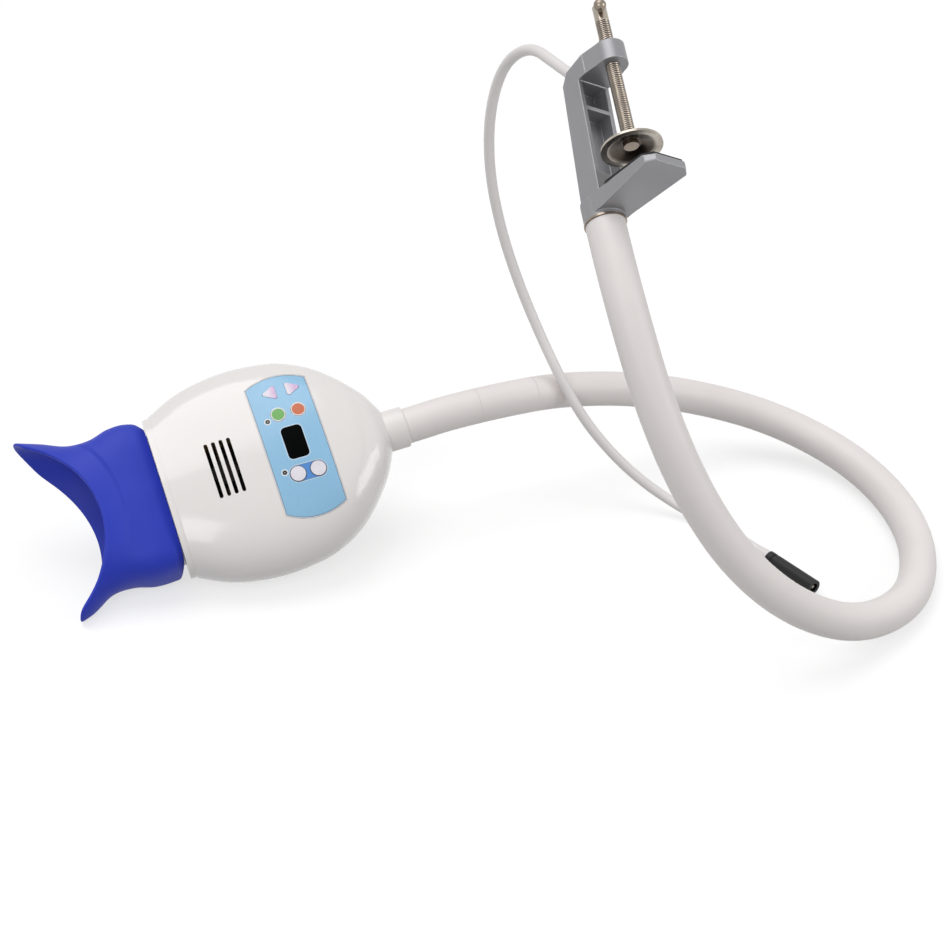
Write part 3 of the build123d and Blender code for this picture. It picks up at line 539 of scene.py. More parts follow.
def keep_between(mesh, low, high):
    """Cuts a mesh square across the screw, outside two heights."""
    up = (CLAMP.to_3x3() @ Vector((0.0, 0.0, 1.0))).normalized()
    for height, side in ((low, -1.0), (high, 1.0)):
        if height is not None:
            bmesh.ops.bisect_plane(
                mesh,
                geom=mesh.verts[:] + mesh.edges[:] + mesh.faces[:],
                dist=1e-7,
                plane_co=clamp_point(0.0, 0.0, height),
                plane_no=up * side,
                clear_outer=True,
            )


def add_disc(mesh, height):
    ring = []
    for k in range(THREAD_SIDES):
        angle = 2 * pi * k / THREAD_SIDES
        ring.append(mesh.verts.new(clamp_point(THREAD_CREST, angle, height)))
    mesh.faces.new(ring)


def make_screw():
    mesh = bmesh.new()
    add_thread(mesh)
    keep_between(mesh, THREAD_LOW, THREAD_HIGH)
    add_disc(mesh, THREAD_LOW)
    add_disc(mesh, THREAD_HIGH)
    for limits in ((None, THREAD_LOW), (THREAD_HIGH, None)):
        end = bmesh.new()
        end.from_mesh(nodes["clamp_screw"].data)
        keep_between(end, *limits)
        data = bpy.data.meshes.new("screw_end")
        end.to_mesh(data)
        end.free()
        mesh.from_mesh(data)
        bpy.data.meshes.remove(data)
    return new_piece("screw_thread", mesh, 32.0)


screw_thread = make_screw()
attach(screw_thread, "clamp_screw")
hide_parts("clamp_screw")
print("thread faces", len(screw_thread.data.polygons))

# %% [markdown]
# On the real casting the upper pocket runs right up to the jaw, and a thick rubber sheet covers
# the lower jaw to its edges, so that it shows as a black line from the side. The casting is a copy
# of the CAD mesh with the pocket's roof moved up, and the sheet is a plate with rounded edges.

# %% Clamp casting and rubber sheet
POCKET_ROOF = 80.0
POCKET_ROOF_RAISED = 82.6
POCKET_HALF_WIDTH = 10.0
POCKET_DEPTH = 3.5
SPINE_FRONT = 11.6
JAW_ROOT = 12.0
JAW_FALL = 6.0 / 45.4
SHEET_THICKNESS = 2.0
SHEET_OUTLINE = ((15.5, 10.4), (18.5, 11.8), (50.3, 14.3), (56.1, 10.0))
SHEET_EDGE = ((0.0, 0.0), (0.0, 0.6), (0.12, 0.85), (0.4, 1.0))


def make_casting():
    mesh = bmesh.new()
    mesh.from_mesh(nodes["clamp_body"].data)
    back = CLAMP.inverted()
    moved = 0
    for vert in mesh.verts:
        place = back @ vert.co
        inside = abs(place.y) < POCKET_HALF_WIDTH and place.x < SPINE_FRONT + POCKET_DEPTH
        if inside and abs(place.z - POCKET_ROOF) < 0.05:
            place.z = POCKET_ROOF_RAISED
            vert.co = CLAMP @ place
            moved += 1
    print("roof points moved", moved)
    return new_piece("clamp_casting", mesh)


def make_sheet():
    mesh = bmesh.new()
    outline = [(x, -y) for x, y in SHEET_OUTLINE] + [(x, y) for x, y in reversed(SHEET_OUTLINE)]
    rings = []
    for inset, lift in SHEET_EDGE:
        ring = []
        for x, y in outline:
            across = y - inset * (1.0 if y > 0 else -1.0)
            along = x - inset * (1.0 if x > SCREW_ALONG else -1.0)
            height = JAW_ROOT - JAW_FALL * (x - SPINE_FRONT) + lift * SHEET_THICKNESS
            ring.append(mesh.verts.new(CLAMP @ Vector((along, across, height))))
        rings.append(ring)
    for low, high in zip(rings, rings[1:]):
        join_rings(mesh, low, high)
    mesh.faces.new(rings[-1])
    mesh.faces.new(list(reversed(rings[0])))
    bmesh.ops.recalc_face_normals(mesh, faces=mesh.faces[:])
    return new_piece("jaw_sheet", mesh)


clamp_casting = make_casting()
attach(clamp_casting, "stand")
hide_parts("clamp_body")
jaw_sheet = make_sheet()
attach(jaw_sheet, "stand")
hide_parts("jaw_pad")

# %% [markdown]
# Materials come next. Several of them share small effects: a very fine grain in moulded surfaces,
# and slow, faint changes of tone. Each effect is a node group with its own inputs, so that every
# material can use it with its own size. First come the helpers that make and join nodes.

# %% Node helpers


def new_group(name, inputs, outputs):
    """A shader node group with named sockets, all of them plain numbers."""
    group = bpy.data.node_groups.new(name, "ShaderNodeTree")
    for label, value in inputs:
        socket = group.interface.new_socket(
            label, in_out="INPUT", socket_type="NodeSocketFloat"
        )
        socket.default_value = value
    for label in outputs:
        group.interface.new_socket(label, in_out="OUTPUT", socket_type="NodeSocketFloat")
    return group, group.nodes.new("NodeGroupInput"), group.nodes.new("NodeGroupOutput")


def feed(tree, socket, value):
    """Joins another node's output to a socket, or sets the socket to a number."""
    if isinstance(value, bpy.types.NodeSocket):
        tree.links.new(value, socket)
    else:
        socket.default_value = value


def calc(tree, operation, *values):
    """One step of arithmetic between outputs and numbers."""
    node = tree.nodes.new("ShaderNodeMath")
    node.operation = operation
    for socket, value in zip(node.inputs, values):
        feed(tree, socket, value)
    return node.outputs[0]


def length_of(tree, first, second):
    """The length of a vector from its two parts."""
    squares = [calc(tree, "MULTIPLY", value, value) for value in (first, second)]
    return calc(tree, "SQRT", calc(tree, "ADD", *squares))


def place_group(tree, group, **values):
    """Puts a shared effect into a tree, with this material's own values."""
    node = tree.nodes.new("ShaderNodeGroup")
    node.node_tree = group
    for label, value in values.items():
        feed(tree, node.inputs[label.replace("_", " ")], value)
    return node


# %% Shared effect: fine grain


def make_grain():
    inputs = [("Grain Size", 900.0), ("Tone Size", 30.0), ("Tone Depth", 0.04)]
    group, source, sink = new_group("surface_grain", inputs, ["Height", "Tone"])
    place = group.nodes.new("ShaderNodeTexCoord")
    grain = group.nodes.new("ShaderNodeTexNoise")
    tone = group.nodes.new("ShaderNodeTexNoise")
    grain.inputs["Detail"].default_value = 3.0
    tone.inputs["Detail"].default_value = 4.0
    group.links.new(place.outputs["Object"], grain.inputs["Vector"])
    group.links.new(place.outputs["Object"], tone.inputs["Vector"])
    group.links.new(source.outputs["Grain Size"], grain.inputs["Scale"])
    group.links.new(source.outputs["Tone Size"], tone.inputs["Scale"])
    spread = group.nodes.new("ShaderNodeMapRange")
    spread.inputs["From Min"].default_value = 0.35
    spread.inputs["From Max"].default_value = 0.65
    group.links.new(tone.outputs["Fac"], spread.inputs["Value"])
    lowest = calc(group, "SUBTRACT", 1.0, source.outputs["Tone Depth"])
    group.links.new(lowest, spread.inputs["To Min"])
    group.links.new(grain.outputs["Fac"], sink.inputs["Height"])
    group.links.new(spread.outputs["Result"], sink.inputs["Tone"])
    return group


grain_group = make_grain()
print("group", grain_group.name)

# %% [markdown]
# The keypad's prints, the dark slots and the fold of the shield all need places in millimetres on
# the head. Object coordinates stay with a part when it moves, so turning them back through the
# head's frame gives places that hold at every pose. Two more groups make shapes out of them: the
# distance to a rounded rectangle, and a soft-edged stripe of that distance. A disc is a rounded
# rectangle that is all corner, and an outline is a thin stripe. A last group gives the distance
# from the axis of the clamp's screw.

# %% Shared effects: places on the head and printed shapes


def add_own_places(group, frame):
    """Nodes that turn a part's coordinates back into millimetres of a small frame."""
    coords = group.nodes.new("ShaderNodeTexCoord")
    turn = group.nodes.new("ShaderNodeMapping")
    shift, rotation, scale = frame.inverted().decompose()
    turn.inputs["Location"].default_value = shift
    turn.inputs["Rotation"].default_value = rotation.to_euler("XYZ")
    turn.inputs["Scale"].default_value = scale
    parts = group.nodes.new("ShaderNodeSeparateXYZ")
    group.links.new(coords.outputs["Object"], turn.inputs["Vector"])
    group.links.new(turn.outputs["Vector"], parts.inputs["Vector"])
    return coords, parts.outputs


def make_head_place():
    group, _, sink = new_group("head_place", [], ["Along", "Across", "Up", "Facing Up"])
    coords, parts = add_own_places(group, HEAD)
    facing = group.nodes.new("ShaderNodeVectorMath")
    facing.operation = "DOT_PRODUCT"
    facing.inputs[1].default_value = (HEAD.to_3x3() @ Vector((0.0, 0.0, 1.0))).normalized()
    group.links.new(coords.outputs["Normal"], facing.inputs[0])
    for axis, label in (("X", "Along"), ("Y", "Across"), ("Z", "Up")):
        group.links.new(parts[axis], sink.inputs[label])
    group.links.new(facing.outputs["Value"], sink.inputs["Facing Up"])
    return group


def make_rounded_shape():
    inputs = [("Along", 0.0), ("Across", 0.0), ("Middle Along", 0.0), ("Middle Across", 0.0)]
    inputs += [("Half Along", 1.0), ("Half Across", 1.0), ("Corner", 1.0)]
    group, source, sink = new_group("rounded_shape", inputs, ["Distance"])
    given = source.outputs
    beyond = []
    for name in ("Along", "Across"):
        away = calc(group, "SUBTRACT", given[name], given["Middle " + name])
        flat = calc(group, "SUBTRACT", given["Half " + name], given["Corner"])
        beyond.append(calc(group, "SUBTRACT", calc(group, "ABSOLUTE", away), flat))
    reach = length_of(group, *[calc(group, "MAXIMUM", value, 0.0) for value in beyond])
    inside = calc(group, "MINIMUM", calc(group, "MAXIMUM", *beyond), 0.0)
    total = calc(group, "SUBTRACT", calc(group, "ADD", reach, inside), given["Corner"])
    group.links.new(total, sink.inputs["Distance"])
    return group


def make_stripe():
    inputs = [("Distance", 0.0), ("From", 0.0), ("To", 1.0), ("Blur", 0.06)]
    group, source, sink = new_group("stripe", inputs, ["Mask"])
    given = source.outputs
    sides = []
    for name, sign in (("From", 1.0), ("To", -1.0)):
        past = calc(group, "SUBTRACT", given["Distance"], given[name])
        sides.append(calc(group, "DIVIDE", calc(group, "MULTIPLY", past, sign), given["Blur"]))
    masks = []
    for side in sides:
        step = group.nodes.new("ShaderNodeMapRange")
        step.interpolation_type = "SMOOTHSTEP"
        step.inputs["From Min"].default_value = -1.0
        step.inputs["From Max"].default_value = 1.0
        group.links.new(side, step.inputs["Value"])
        masks.append(step.outputs["Result"])
    group.links.new(calc(group, "MULTIPLY", *masks), sink.inputs["Mask"])
    return group


def make_screw_distance():
    """How far a place is from the screw's axis, in millimetres."""
    group, _, sink = new_group("screw_distance", [], ["Distance"])
    _, parts = add_own_places(group, CLAMP)
    along = calc(group, "SUBTRACT", parts["X"], SCREW_ALONG)
    group.links.new(length_of(group, along, parts["Y"]), sink.inputs["Distance"])
    return group


place_on_head = make_head_place()
screw_distance = make_screw_distance()
rounded_shape = make_rounded_shape()
stripe = make_stripe()
print("groups", place_on_head.name, rounded_shape.name, stripe.name)

# %% [markdown]
# One helper makes a moulded or plated surface: a Principled shader whose colour is multiplied by
# the slow tone, whose roughness drifts with it, and whose normal comes from the fine grain. Values
# that never change over the surface are set on the shader's own sockets. Further helpers print
# colours and shapes over it, and add a larger relief.

# %% Surface helpers


def srgb(red, green, blue):
    """Linear colour from the 0 to 255 values of a screen."""
    linear = []
    for value in (red, green, blue):
        v = value / 255.0
        linear.append(v / 12.92 if v <= 0.04045 else ((v + 0.055) / 1.055) ** 2.4)
    return (*linear, 1.0)


def surface(
    name,
    colour,
    roughness,
    metallic=0.0,
    coat=0.0,
    grain_size=900.0,
    grain_depth=0.02,
    tone_size=30.0,
    tone_depth=0.04,
    rough_drift=0.06,
    specular=0.5,
):
    material = bpy.data.materials.new(name)
    material.use_nodes = True
    tree = material.node_tree
    shader = tree.nodes["Principled BSDF"]
    shader.inputs["Metallic"].default_value = metallic
    shader.inputs["Coat Weight"].default_value = coat
    shader.inputs["Coat Roughness"].default_value = 0.08
    shader.inputs["Specular IOR Level"].default_value = specular
    grain = place_group(
        tree, grain_group, Grain_Size=grain_size, Tone_Size=tone_size, Tone_Depth=tone_depth
    )
    tint = tree.nodes.new("ShaderNodeMix")
    tint.name = "tint"
    tint.data_type = "RGBA"
    tint.blend_type = "MULTIPLY"
    tint.inputs["Factor"].default_value = 1.0
    tint.inputs["A"].default_value = colour
    tree.links.new(grain.outputs["Tone"], tint.inputs["B"])
    tree.links.new(tint.outputs["Result"], shader.inputs["Base Color"])
    drift = tree.nodes.new("ShaderNodeMapRange")
    drift.inputs["From Min"].default_value = 1.0 - tone_depth
    drift.inputs["To Min"].default_value = roughness + rough_drift
    drift.inputs["To Max"].default_value = roughness
    tree.links.new(grain.outputs["Tone"], drift.inputs["Value"])
    tree.links.new(drift.outputs["Result"], shader.inputs["Roughness"])
    bump = tree.nodes.new("ShaderNodeBump")
    bump.name = "bump"
    bump.inputs["Strength"].default_value = grain_depth
    bump.inputs["Distance"].default_value = 0.0005
    tree.links.new(grain.outputs["Height"], bump.inputs["Height"])
    tree.links.new(bump.outputs["Normal"], shader.inputs["Normal"])
    return material


def layer(material, colour, mask):
    """Prints a colour over what the material shows so far, where the mask is 1."""
    tree = material.node_tree
    base = tree.nodes["tint"].inputs["A"]
    mix = tree.nodes.new("ShaderNodeMix")
    mix.data_type = "RGBA"
    if base.is_linked:
        tree.links.new(base.links[0].from_socket, mix.inputs["A"])
    else:
        mix.inputs["A"].default_value = base.default_value
    mix.inputs["B"].default_value = colour
    tree.links.new(mask, mix.inputs["Factor"])
    tree.links.new(mix.outputs["Result"], base)


def stripe_mask(tree, distance, low, high, blur=0.06):
    """1 between two distances, and 0 beyond them."""
    node = place_group(tree, stripe, Distance=distance, From=low, To=high, Blur=blur)
    return node.outputs["Mask"]


def ink(material, distance, low, high, colour, blur=0.06):
    """Prints a stripe between two distances from a shape's edge."""
    layer(material, colour, stripe_mask(material.node_tree, distance, low, high, blur))


def shape_distance(tree, place, middle, half, corner, mirrored=False):
    """The distance to a rounded shape on the head, or to it and its mirror image."""
    across = place.outputs["Across"]
    node = place_group(
        tree,
        rounded_shape,
        Along=place.outputs["Along"],
        Across=calc(tree, "ABSOLUTE", across) if mirrored else across,
        Middle_Along=middle[0],
        Middle_Across=middle[1],
        Half_Along=half[0],
        Half_Across=half[1],
        Corner=corner,
    )
    return node.outputs["Distance"]


def raise_up(material, height, distance):
    """Adds a second, larger relief over the fine grain."""
    tree = material.node_tree
    relief = tree.nodes.new("ShaderNodeBump")
    relief.inputs["Distance"].default_value = distance
    tree.links.new(height, relief.inputs["Height"])
    tree.links.new(tree.nodes["bump"].outputs["Normal"], relief.inputs["Normal"])
    tree.links.new(relief.outputs["Normal"], tree.nodes["Principled BSDF"].inputs["Normal"])


def dress(material, *names):
    """Puts a material on CAD nodes or pieces."""
    for name in names:
        data = bpy.data.objects[name].data
        data.materials.clear()
        data.materials.append(material)


# %% [markdown]
# The head is a high-gloss moulding in warm white, and the sleeve of the arm is the same white but
# satin, because it is a soft tube. The lead's sheath is a little greyer. Hardly any light gets into
# the slots of the vent, so their white walls get a painted shade: a mask darkens the white to brown
# there where the surface doesn't face up.

# %% White parts
VENT_MIDDLE = (23.46, 3.0)
VENT_HALF = (9.5, 19.5)
VENT_SHADE_BROWN = srgb(168, 148, 124)

head_white = surface("head_white", srgb(239, 235, 233), 0.16, coat=0.4, grain_size=500.0,
                     grain_depth=0.01, tone_size=12.0, tone_depth=0.02)
collar_white = surface("collar_white", srgb(238, 233, 231), 0.3, grain_size=1200.0,
                       grain_depth=0.05, tone_size=30.0, tone_depth=0.03)
sleeve_white = surface("sleeve_white", srgb(239, 233, 231), 0.42, grain_size=1400.0,
                       grain_depth=0.08, tone_size=18.0, tone_depth=0.04)
lead_white = surface("lead_white", srgb(237, 233, 232), 0.36, grain_size=1600.0,
                     grain_depth=0.05, tone_size=25.0, tone_depth=0.04)


def paint_slot_shade(material):
    tree = material.node_tree
    place = place_group(tree, place_on_head)
    area = shape_distance(tree, place, VENT_MIDDLE, VENT_HALF, 1.0)
    near = stripe_mask(tree, area, -100.0, 0.0)
    steep = stripe_mask(tree, place.outputs["Facing Up"], -2.0, 0.55, blur=0.2)
    # Painted shade: the sideways-facing walls of the slots are darkened to brown.
    layer(material, VENT_SHADE_BROWN, calc(tree, "MULTIPLY", near, steep))


paint_slot_shade(head_white)
dress(head_white, "upper_housing", "lower_housing", "nose_bezel")
dress(collar_white, "neck_collar")
dress(sleeve_white, "sleeve_arm", "sleeve_swing", "sleeve_tilt", "arm_sleeve", "swing_sleeve",
      "link_sleeve", "tilt_sleeve")
dress(lead_white, "lead", "power_lead", "lead_relief", "lead_grommet")
print("white parts dressed")

# %% [markdown]
# The shield is soft blue rubber, dull and even. A shallow fold runs round it, fifteen millimetres
# behind the rim, where the lip turns outward, and fades on one side. The rim lies on a cylinder
# that stands across the head and leans a little, so the distance to it places the fold.

# %% Blue shield
FOLD_BACK = 15.0
FOLD_FAR = 200.0
FOLD_BLUR = 2.0
FOLD_RELIEF = 0.0009
FADE_ENDS = (34.0, 4.0)

shield_blue = surface("shield_blue", srgb(34, 56, 188), 0.5, grain_size=1100.0,
                      grain_depth=0.1, tone_size=22.0, tone_depth=0.08, specular=0.35)


def fold_shield(material):
    tree = material.node_tree
    place = place_group(tree, place_on_head)
    lean = calc(tree, "MULTIPLY", place.outputs["Up"], RIM_LEAN)
    ahead = calc(tree, "SUBTRACT", calc(tree, "ADD", place.outputs["Along"], lean), RIM_CENTRE)
    from_axis = length_of(tree, ahead, place.outputs["Across"])
    back = calc(tree, "SUBTRACT", from_axis, RIM_RADIUS)
    fold = stripe_mask(tree, back, FOLD_BACK, FOLD_FAR, FOLD_BLUR)
    fade = tree.nodes.new("ShaderNodeMapRange")
    fade.inputs["From Min"].default_value, fade.inputs["From Max"].default_value = FADE_ENDS
    tree.links.new(place.outputs["Across"], fade.inputs["Value"])
    raise_up(material, calc(tree, "MULTIPLY", fold, fade.outputs["Result"]), FOLD_RELIEF)


fold_shield(shield_blue)
dress(shield_blue, "shield_skin", "mouth_shield")
print("shield dressed")

# %% [markdown]
# The clamp is a casting in silver paint: a fine sparkle, and edges that the mould left a little
# round. The Bevel node rounds the normal there, so that the edges catch the light, and a lighter
# grey is painted along them as a highlight. The screw, its disc and its bar are plated with
# nickel. Shade is painted into the roots of the thread, and a dark reflection into the hollow of
# the disc, so both are darker there, by their distance from the screw's axis.

# %% Metal, rubber and dark parts
EDGE_RADIUS = 0.0008
THREAD_ROOT_SHADE = 3.78
DISC_DARK_REFLECTION = 13.0

cast_grey = surface("cast_grey", srgb(150, 150, 153), 0.34, metallic=0.5, grain_size=2200.0,
                    grain_depth=0.2, tone_size=40.0, tone_depth=0.05)
nickel = surface("nickel", srgb(150, 138, 126), 0.2, metallic=1.0, grain_size=2500.0,
                 grain_depth=0.05, tone_size=90.0, tone_depth=0.16)
steel = surface("steel", srgb(150, 150, 152), 0.3, metallic=1.0, tone_depth=0.08)
pad_black = surface("pad_black", srgb(26, 26, 28), 0.6, grain_size=1800.0, grain_depth=0.2,
                    specular=0.3)
socket_black = surface("socket_black", srgb(20, 20, 21), 0.42, grain_size=1500.0,
                       grain_depth=0.12, specular=0.3)
black_plastic = surface("black_plastic", srgb(16, 15, 15), 0.5, specular=0.2)
fan_brown = surface("fan_brown", srgb(136, 112, 86), 0.5, specular=0.2)
window_black = surface("window_black", srgb(5, 6, 6), 0.2, tone_depth=0.02, specular=0.02)
board_green = surface("board_green", srgb(28, 92, 52), 0.3, coat=0.3)
sink_alloy = surface("sink_alloy", srgb(190, 190, 194), 0.35, metallic=1.0)
emitter = surface("emitter", srgb(220, 226, 240), 0.15, coat=0.3)


def round_edges_and_paint_highlight(material, radius, painted_highlight_colour):
    tree = material.node_tree
    bevel = tree.nodes.new("ShaderNodeBevel")
    bevel.inputs["Radius"].default_value = radius
    tree.links.new(bevel.outputs["Normal"], tree.nodes["bump"].inputs["Normal"])
    flat = tree.nodes.new("ShaderNodeNewGeometry")
    likeness = tree.nodes.new("ShaderNodeVectorMath")
    likeness.operation = "DOT_PRODUCT"
    tree.links.new(bevel.outputs["Normal"], likeness.inputs[0])
    tree.links.new(flat.outputs["Normal"], likeness.inputs[1])
    edge = tree.nodes.new("ShaderNodeMapRange")
    edge.inputs["From Min"].default_value = 0.99
    edge.inputs["From Max"].default_value = 0.8
    tree.links.new(likeness.outputs["Value"], edge.inputs["Value"])
    # Painted highlight: a lighter grey where the rounded normal turns away from the flat one.
    layer(material, painted_highlight_colour, edge.outputs["Result"])


# Painted shade: a darker colour within a distance of the screw's axis.
def paint_shade_within(material, radius, blur, colour):
    away = place_group(material.node_tree, screw_distance)
    ink(material, away.outputs["Distance"], -1.0, radius, colour, blur)


screw_nickel = surface("screw_nickel", srgb(176, 166, 154), 0.18, metallic=1.0,
                       grain_size=2500.0, grain_depth=0.04, tone_size=90.0, tone_depth=0.16)
# Painted shade in the roots of the thread.
paint_shade_within(screw_nickel, THREAD_ROOT_SHADE, 0.12, srgb(58, 50, 44))
disc_nickel = surface("disc_nickel", srgb(186, 178, 168), 0.2, metallic=1.0, grain_size=2500.0,
                      grain_depth=0.05, tone_size=160.0, tone_depth=0.3)
# Painted dark reflection in the hollow of the disc.
paint_shade_within(disc_nickel, DISC_DARK_REFLECTION, 1.6, srgb(84, 76, 70))
# The lighter grey on the casting's edges is a painted highlight.
round_edges_and_paint_highlight(cast_grey, EDGE_RADIUS, srgb(196, 197, 201))
dress(cast_grey, "clamp_casting", "clamp_body")
dress(screw_nickel, "screw_thread", "clamp_screw")
dress(disc_nickel, "swivel_pad")
dress(nickel, "tommy_bar", "pad_rivet", "arm_ring", "socket_pin")
dress(steel, "grub_screw", "collar_nut", "housing_screws", "board_screws", "arm_core",
      "core_swing", "core_tilt", "swing_core", "link_core", "tilt_core")
dress(pad_black, "jaw_sheet", "jaw_pad")
dress(socket_black, "dc_socket")
dress(black_plastic, "display_module", "key_switches", "fan_rotor")
dress(fan_brown, "cooling_fan")
dress(window_black, "display_window")
dress(board_green, "control_board", "light_board")
dress(sink_alloy, "heat_sink")
dress(emitter, "light_emitters")
print("metal, rubber and dark parts dressed")

# %% [markdown]
# The keypad is a printed film. Its light blue field has a thin white band at its edge, a painted
# highlight of the housing's rim, with a printed grey line inside it; there is a pale halo round the
# display, white rings round the lamps, and a darker capsule that holds the two white keys. All of
# it is drawn with the two shape groups, in millimetres from the middle of the panel. The words
# beside the keys are left off.

# %% Printed film
PANEL_ALONG = -22.08
PANEL_HALF_ALONG = 19.25
PANEL_END_RADIUS = 36.4
PANEL_END_CENTRE = 12.04
KEY_FRONT = PANEL_ALONG + 4.4
KEY_REAR = PANEL_ALONG - 8.4
ROW_ARROWS = -36.44
ROW_COLOURS = -20.46
ROW_WHITES = 20.46
LAMP_ALONG = PANEL_ALONG + 12.0
LAMP_ACROSS = 17.53
COLOUR_RADIUS = 4.5
WHITE_RADIUS = 4.9
LAMP_RADIUS = 1.4
DISPLAY_HALF = (6.5, 10.75)
DISPLAY_CORNER = 3.0

PRINT_AND_HIGHLIGHT_WHITE = srgb(238, 242, 247)
INK_GREY = srgb(110, 128, 150)
INK_HALO = srgb(196, 222, 242)
INK_CAPSULE = srgb(78, 142, 216)

overlay_blue = surface("overlay_blue", srgb(146, 197, 231), 0.26, coat=0.15, grain_size=700.0,
                       grain_depth=0.02, tone_size=40.0, tone_depth=0.03)


def print_film(material):
    tree = material.node_tree
    place = place_group(tree, place_on_head)
    along = calc(tree, "SUBTRACT", place.outputs["Along"], PANEL_ALONG)
    across = calc(tree, "ABSOLUTE", place.outputs["Across"])
    side = calc(tree, "SUBTRACT", calc(tree, "ABSOLUTE", along), PANEL_HALF_ALONG)
    past = calc(tree, "SUBTRACT", across, PANEL_END_CENTRE)
    end = calc(tree, "SUBTRACT", length_of(tree, along, past), PANEL_END_RADIUS)
    edge = calc(tree, "MAXIMUM", side, end)
    # Painted highlight: the thin white band along the film's edge stands for light on the housing's
    # rim.
    ink(material, edge, -0.3, 5.0, PRINT_AND_HIGHLIGHT_WHITE)
    ink(material, edge, -0.75, -0.3, INK_GREY)

    display = shape_distance(tree, place, (PANEL_ALONG, 0.0), DISPLAY_HALF, DISPLAY_CORNER)
    ink(material, display, -1.0, 0.75, INK_HALO, blur=0.2)
    middle = ((KEY_FRONT + KEY_REAR) / 2, ROW_WHITES)
    half_length = (KEY_FRONT - KEY_REAR) / 2 + WHITE_RADIUS
    capsule = shape_distance(tree, place, middle, (half_length, WHITE_RADIUS), WHITE_RADIUS)
    ink(material, capsule, -10.0, 0.9, INK_HALO, blur=0.15)
    ink(material, capsule, -10.0, 0.4, INK_GREY)
    ink(material, capsule, -10.0, 0.05, INK_CAPSULE)
    for spot, radius, reach in (
        ((KEY_FRONT, ROW_COLOURS), COLOUR_RADIUS, 0.5),
        ((KEY_REAR, ROW_COLOURS), COLOUR_RADIUS, 0.5),
        ((LAMP_ALONG, -LAMP_ACROSS), LAMP_RADIUS, 0.75),
        ((LAMP_ALONG, LAMP_ACROSS), LAMP_RADIUS, 0.75),
    ):
        ring = shape_distance(tree, place, spot, (radius, radius), radius)
        ink(material, ring, -1.0, reach, PRINT_AND_HIGHLIGHT_WHITE)


print_film(overlay_blue)
dress(overlay_blue, "keypad_overlay")
print("film nodes", len(overlay_blue.node_tree.nodes))

# %% [markdown]
# The keys are printed too. The round ones have a white or grey ring round their colour, and each
# arrow key fades from white to pink. A lamp is a small dark ring with a grey lens in its middle.

# %% Keys and lamps


def round_key(name, colour, ring_colour, spot, radius, ring_width):
    material = surface(name, colour, 0.3, coat=0.2, tone_size=300.0, tone_depth=0.08)
    place = place_group(material.node_tree, place_on_head)
    disc = shape_distance(material.node_tree, place, spot, (radius, radius), radius)
    ink(material, disc, -ring_width, 0.6, ring_colour)
    dress(material, name)


def arrow_key(name):
    low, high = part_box(name)
    middle = HEAD.inverted() @ ((Vector(low) + Vector(high)) / 2)
    material = surface(name + "_pink", ARROW_WHITE, 0.32, tone_size=300.0, tone_depth=0.05)
    place = place_group(material.node_tree, place_on_head)
    away = calc(material.node_tree, "SUBTRACT", place.outputs["Along"], middle.x)
    ink(material, away, -50.0, -0.2, ARROW_PINK, blur=3.0)
    dress(material, name)
    print(name, "lies at", [round(v, 1) for v in middle])


ARROW_WHITE = srgb(238, 232, 242)
ARROW_PINK = srgb(222, 188, 224)
KEY_WHITE = srgb(240, 236, 244)
RING_GREY = srgb(150, 152, 172)

round_key("key_green", srgb(98, 172, 72), PRINT_AND_HIGHLIGHT_WHITE, (KEY_FRONT, ROW_COLOURS), COLOUR_RADIUS, 0.55)
round_key("key_orange", srgb(206, 98, 44), PRINT_AND_HIGHLIGHT_WHITE, (KEY_REAR, ROW_COLOURS), COLOUR_RADIUS, 0.55)
round_key("key_white_front", KEY_WHITE, RING_GREY, (KEY_FRONT, ROW_WHITES), WHITE_RADIUS, 0.3)
round_key("key_white_rear", KEY_WHITE, RING_GREY, (KEY_REAR, ROW_WHITES), WHITE_RADIUS, 0.3)
arrow_key("key_up")
arrow_key("key_down")

indicator = surface("indicator", srgb(150, 152, 154), 0.25)
lamp_ring = shape_distance(
    indicator.node_tree,
    place_group(indicator.node_tree, place_on_head),
    (LAMP_ALONG, LAMP_ACROSS),
    (LAMP_RADIUS, LAMP_RADIUS),
    LAMP_RADIUS,
    mirrored=True,
)
ink(indicator, lamp_ring, -0.95, 2.0, srgb(14, 15, 17))
dress(indicator, "indicator_lights")
print("keypad dressed")

# %% Clear window in the nose
clear = bpy.data.materials.new("lens_clear")
clear.use_nodes = True
clear_shader = clear.node_tree.nodes["Principled BSDF"]
clear_shader.inputs["Base Color"].default_value = (0.95, 0.97, 1.0, 1.0)
clear_shader.inputs["Roughness"].default_value = 0.04
clear_shader.inputs["Transmission Weight"].default_value = 1.0
clear_shader.inputs["IOR"].default_value = 1.49
dress(clear, "light_window")
print("clear window dressed")

# %% [markdown]
# The lamp lies on white paper that runs out of sight. To the camera, and in gloss and glass, the
# paper and the sky are plain white; to every other ray they are darker, so that little light
# comes back up and the undersides keep their shade. The paper still takes the lamp's soft shadow.

# %% Paper and sky
PAPER_SIZE = 14.0
PAPER_SHADE = 0.42
PAPER_GLOW = 0.66
SKY_LIGHT = 0.34


def seen_directly(tree):
    """1 for rays of the camera, of gloss and of glass, and 0 for all others."""
    path = tree.nodes.new("ShaderNodeLightPath")
    sharp = calc(tree, "MAXIMUM", path.outputs["Is Glossy Ray"],
                 path.outputs["Is Transmission Ray"])
    return calc(tree, "MAXIMUM", path.outputs["Is Camera Ray"], sharp)


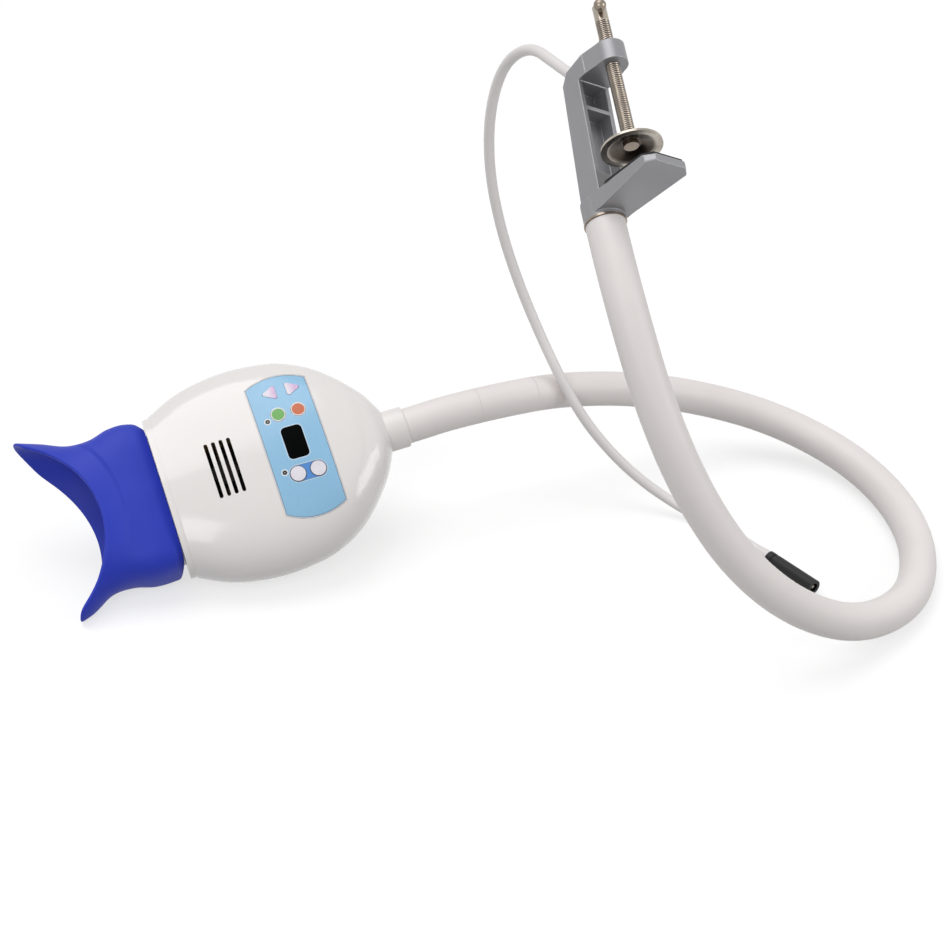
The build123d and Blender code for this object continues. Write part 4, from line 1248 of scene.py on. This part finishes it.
bpy.ops.mesh.primitive_plane_add(size=PAPER_SIZE, location=(0.0, 0.0, -0.0002))
floor = bpy.context.object
floor.name = "floor"
paper = bpy.data.materials.new("paper_white")
paper.use_nodes = True
paper_shader = paper.node_tree.nodes["Principled BSDF"]
paper_shader.inputs["Base Color"].default_value = (PAPER_SHADE, PAPER_SHADE, PAPER_SHADE, 1.0)
paper_shader.inputs["Roughness"].default_value = 1.0
paper_shader.inputs["Specular IOR Level"].default_value = 0.0
paper_shader.inputs["Emission Color"].default_value = (1.0, 1.0, 1.0, 1.0)
paper_glow = calc(paper.node_tree, "MULTIPLY", seen_directly(paper.node_tree), PAPER_GLOW)
paper.node_tree.links.new(paper_glow, paper_shader.inputs["Emission Strength"])
floor.data.materials.append(paper)

world = bpy.data.worlds.new("studio")
scene.world = world
world.use_nodes = True
sky = world.node_tree.nodes["Background"]
sky.inputs["Color"].default_value = (1.0, 1.0, 1.0, 1.0)
sky_lift = calc(world.node_tree, "MULTIPLY", seen_directly(world.node_tree), 1.0 - SKY_LIGHT)
sky_strength = calc(world.node_tree, "ADD", sky_lift, SKY_LIGHT)
world.node_tree.links.new(sky_strength, sky.inputs["Strength"])
print("paper and sky set")

# %% [markdown]
# A wide, soft light from above does most of the work. It is a sun with a very large disc, so it
# lights the paper evenly to the horizon. Two soft boxes fill in from the front and the right.

# %% Lights


def aim_light(name, kind, place, target, power):
    light = bpy.data.lights.new(name, kind)
    light.energy = power
    lamp = bpy.data.objects.new(name, light)
    lamp.location = place
    aim = Vector(target) - Vector(place)
    lamp.rotation_euler = aim.to_track_quat("-Z", "Y").to_euler()
    scene.collection.objects.link(lamp)
    return lamp


MIDDLE = (0.0, 0.0, 0.1)
top_light = aim_light("top_light", "SUN", (-0.4, 0.25, 1.5), MIDDLE, 1.3)
top_light.data.angle = radians(50.0)
for name, place, side, power in (
    ("front_box", (-0.7, -1.4, 1.2), 1.0, 8.0),
    ("right_box", (1.5, -0.4, 0.8), 0.8, 6.0),
):
    box = aim_light(name, "AREA", place, MIDDLE, power)
    box.data.size = side
scene.view_settings.view_transform = "Standard"
print("stage lit")

# %% Finish
import json
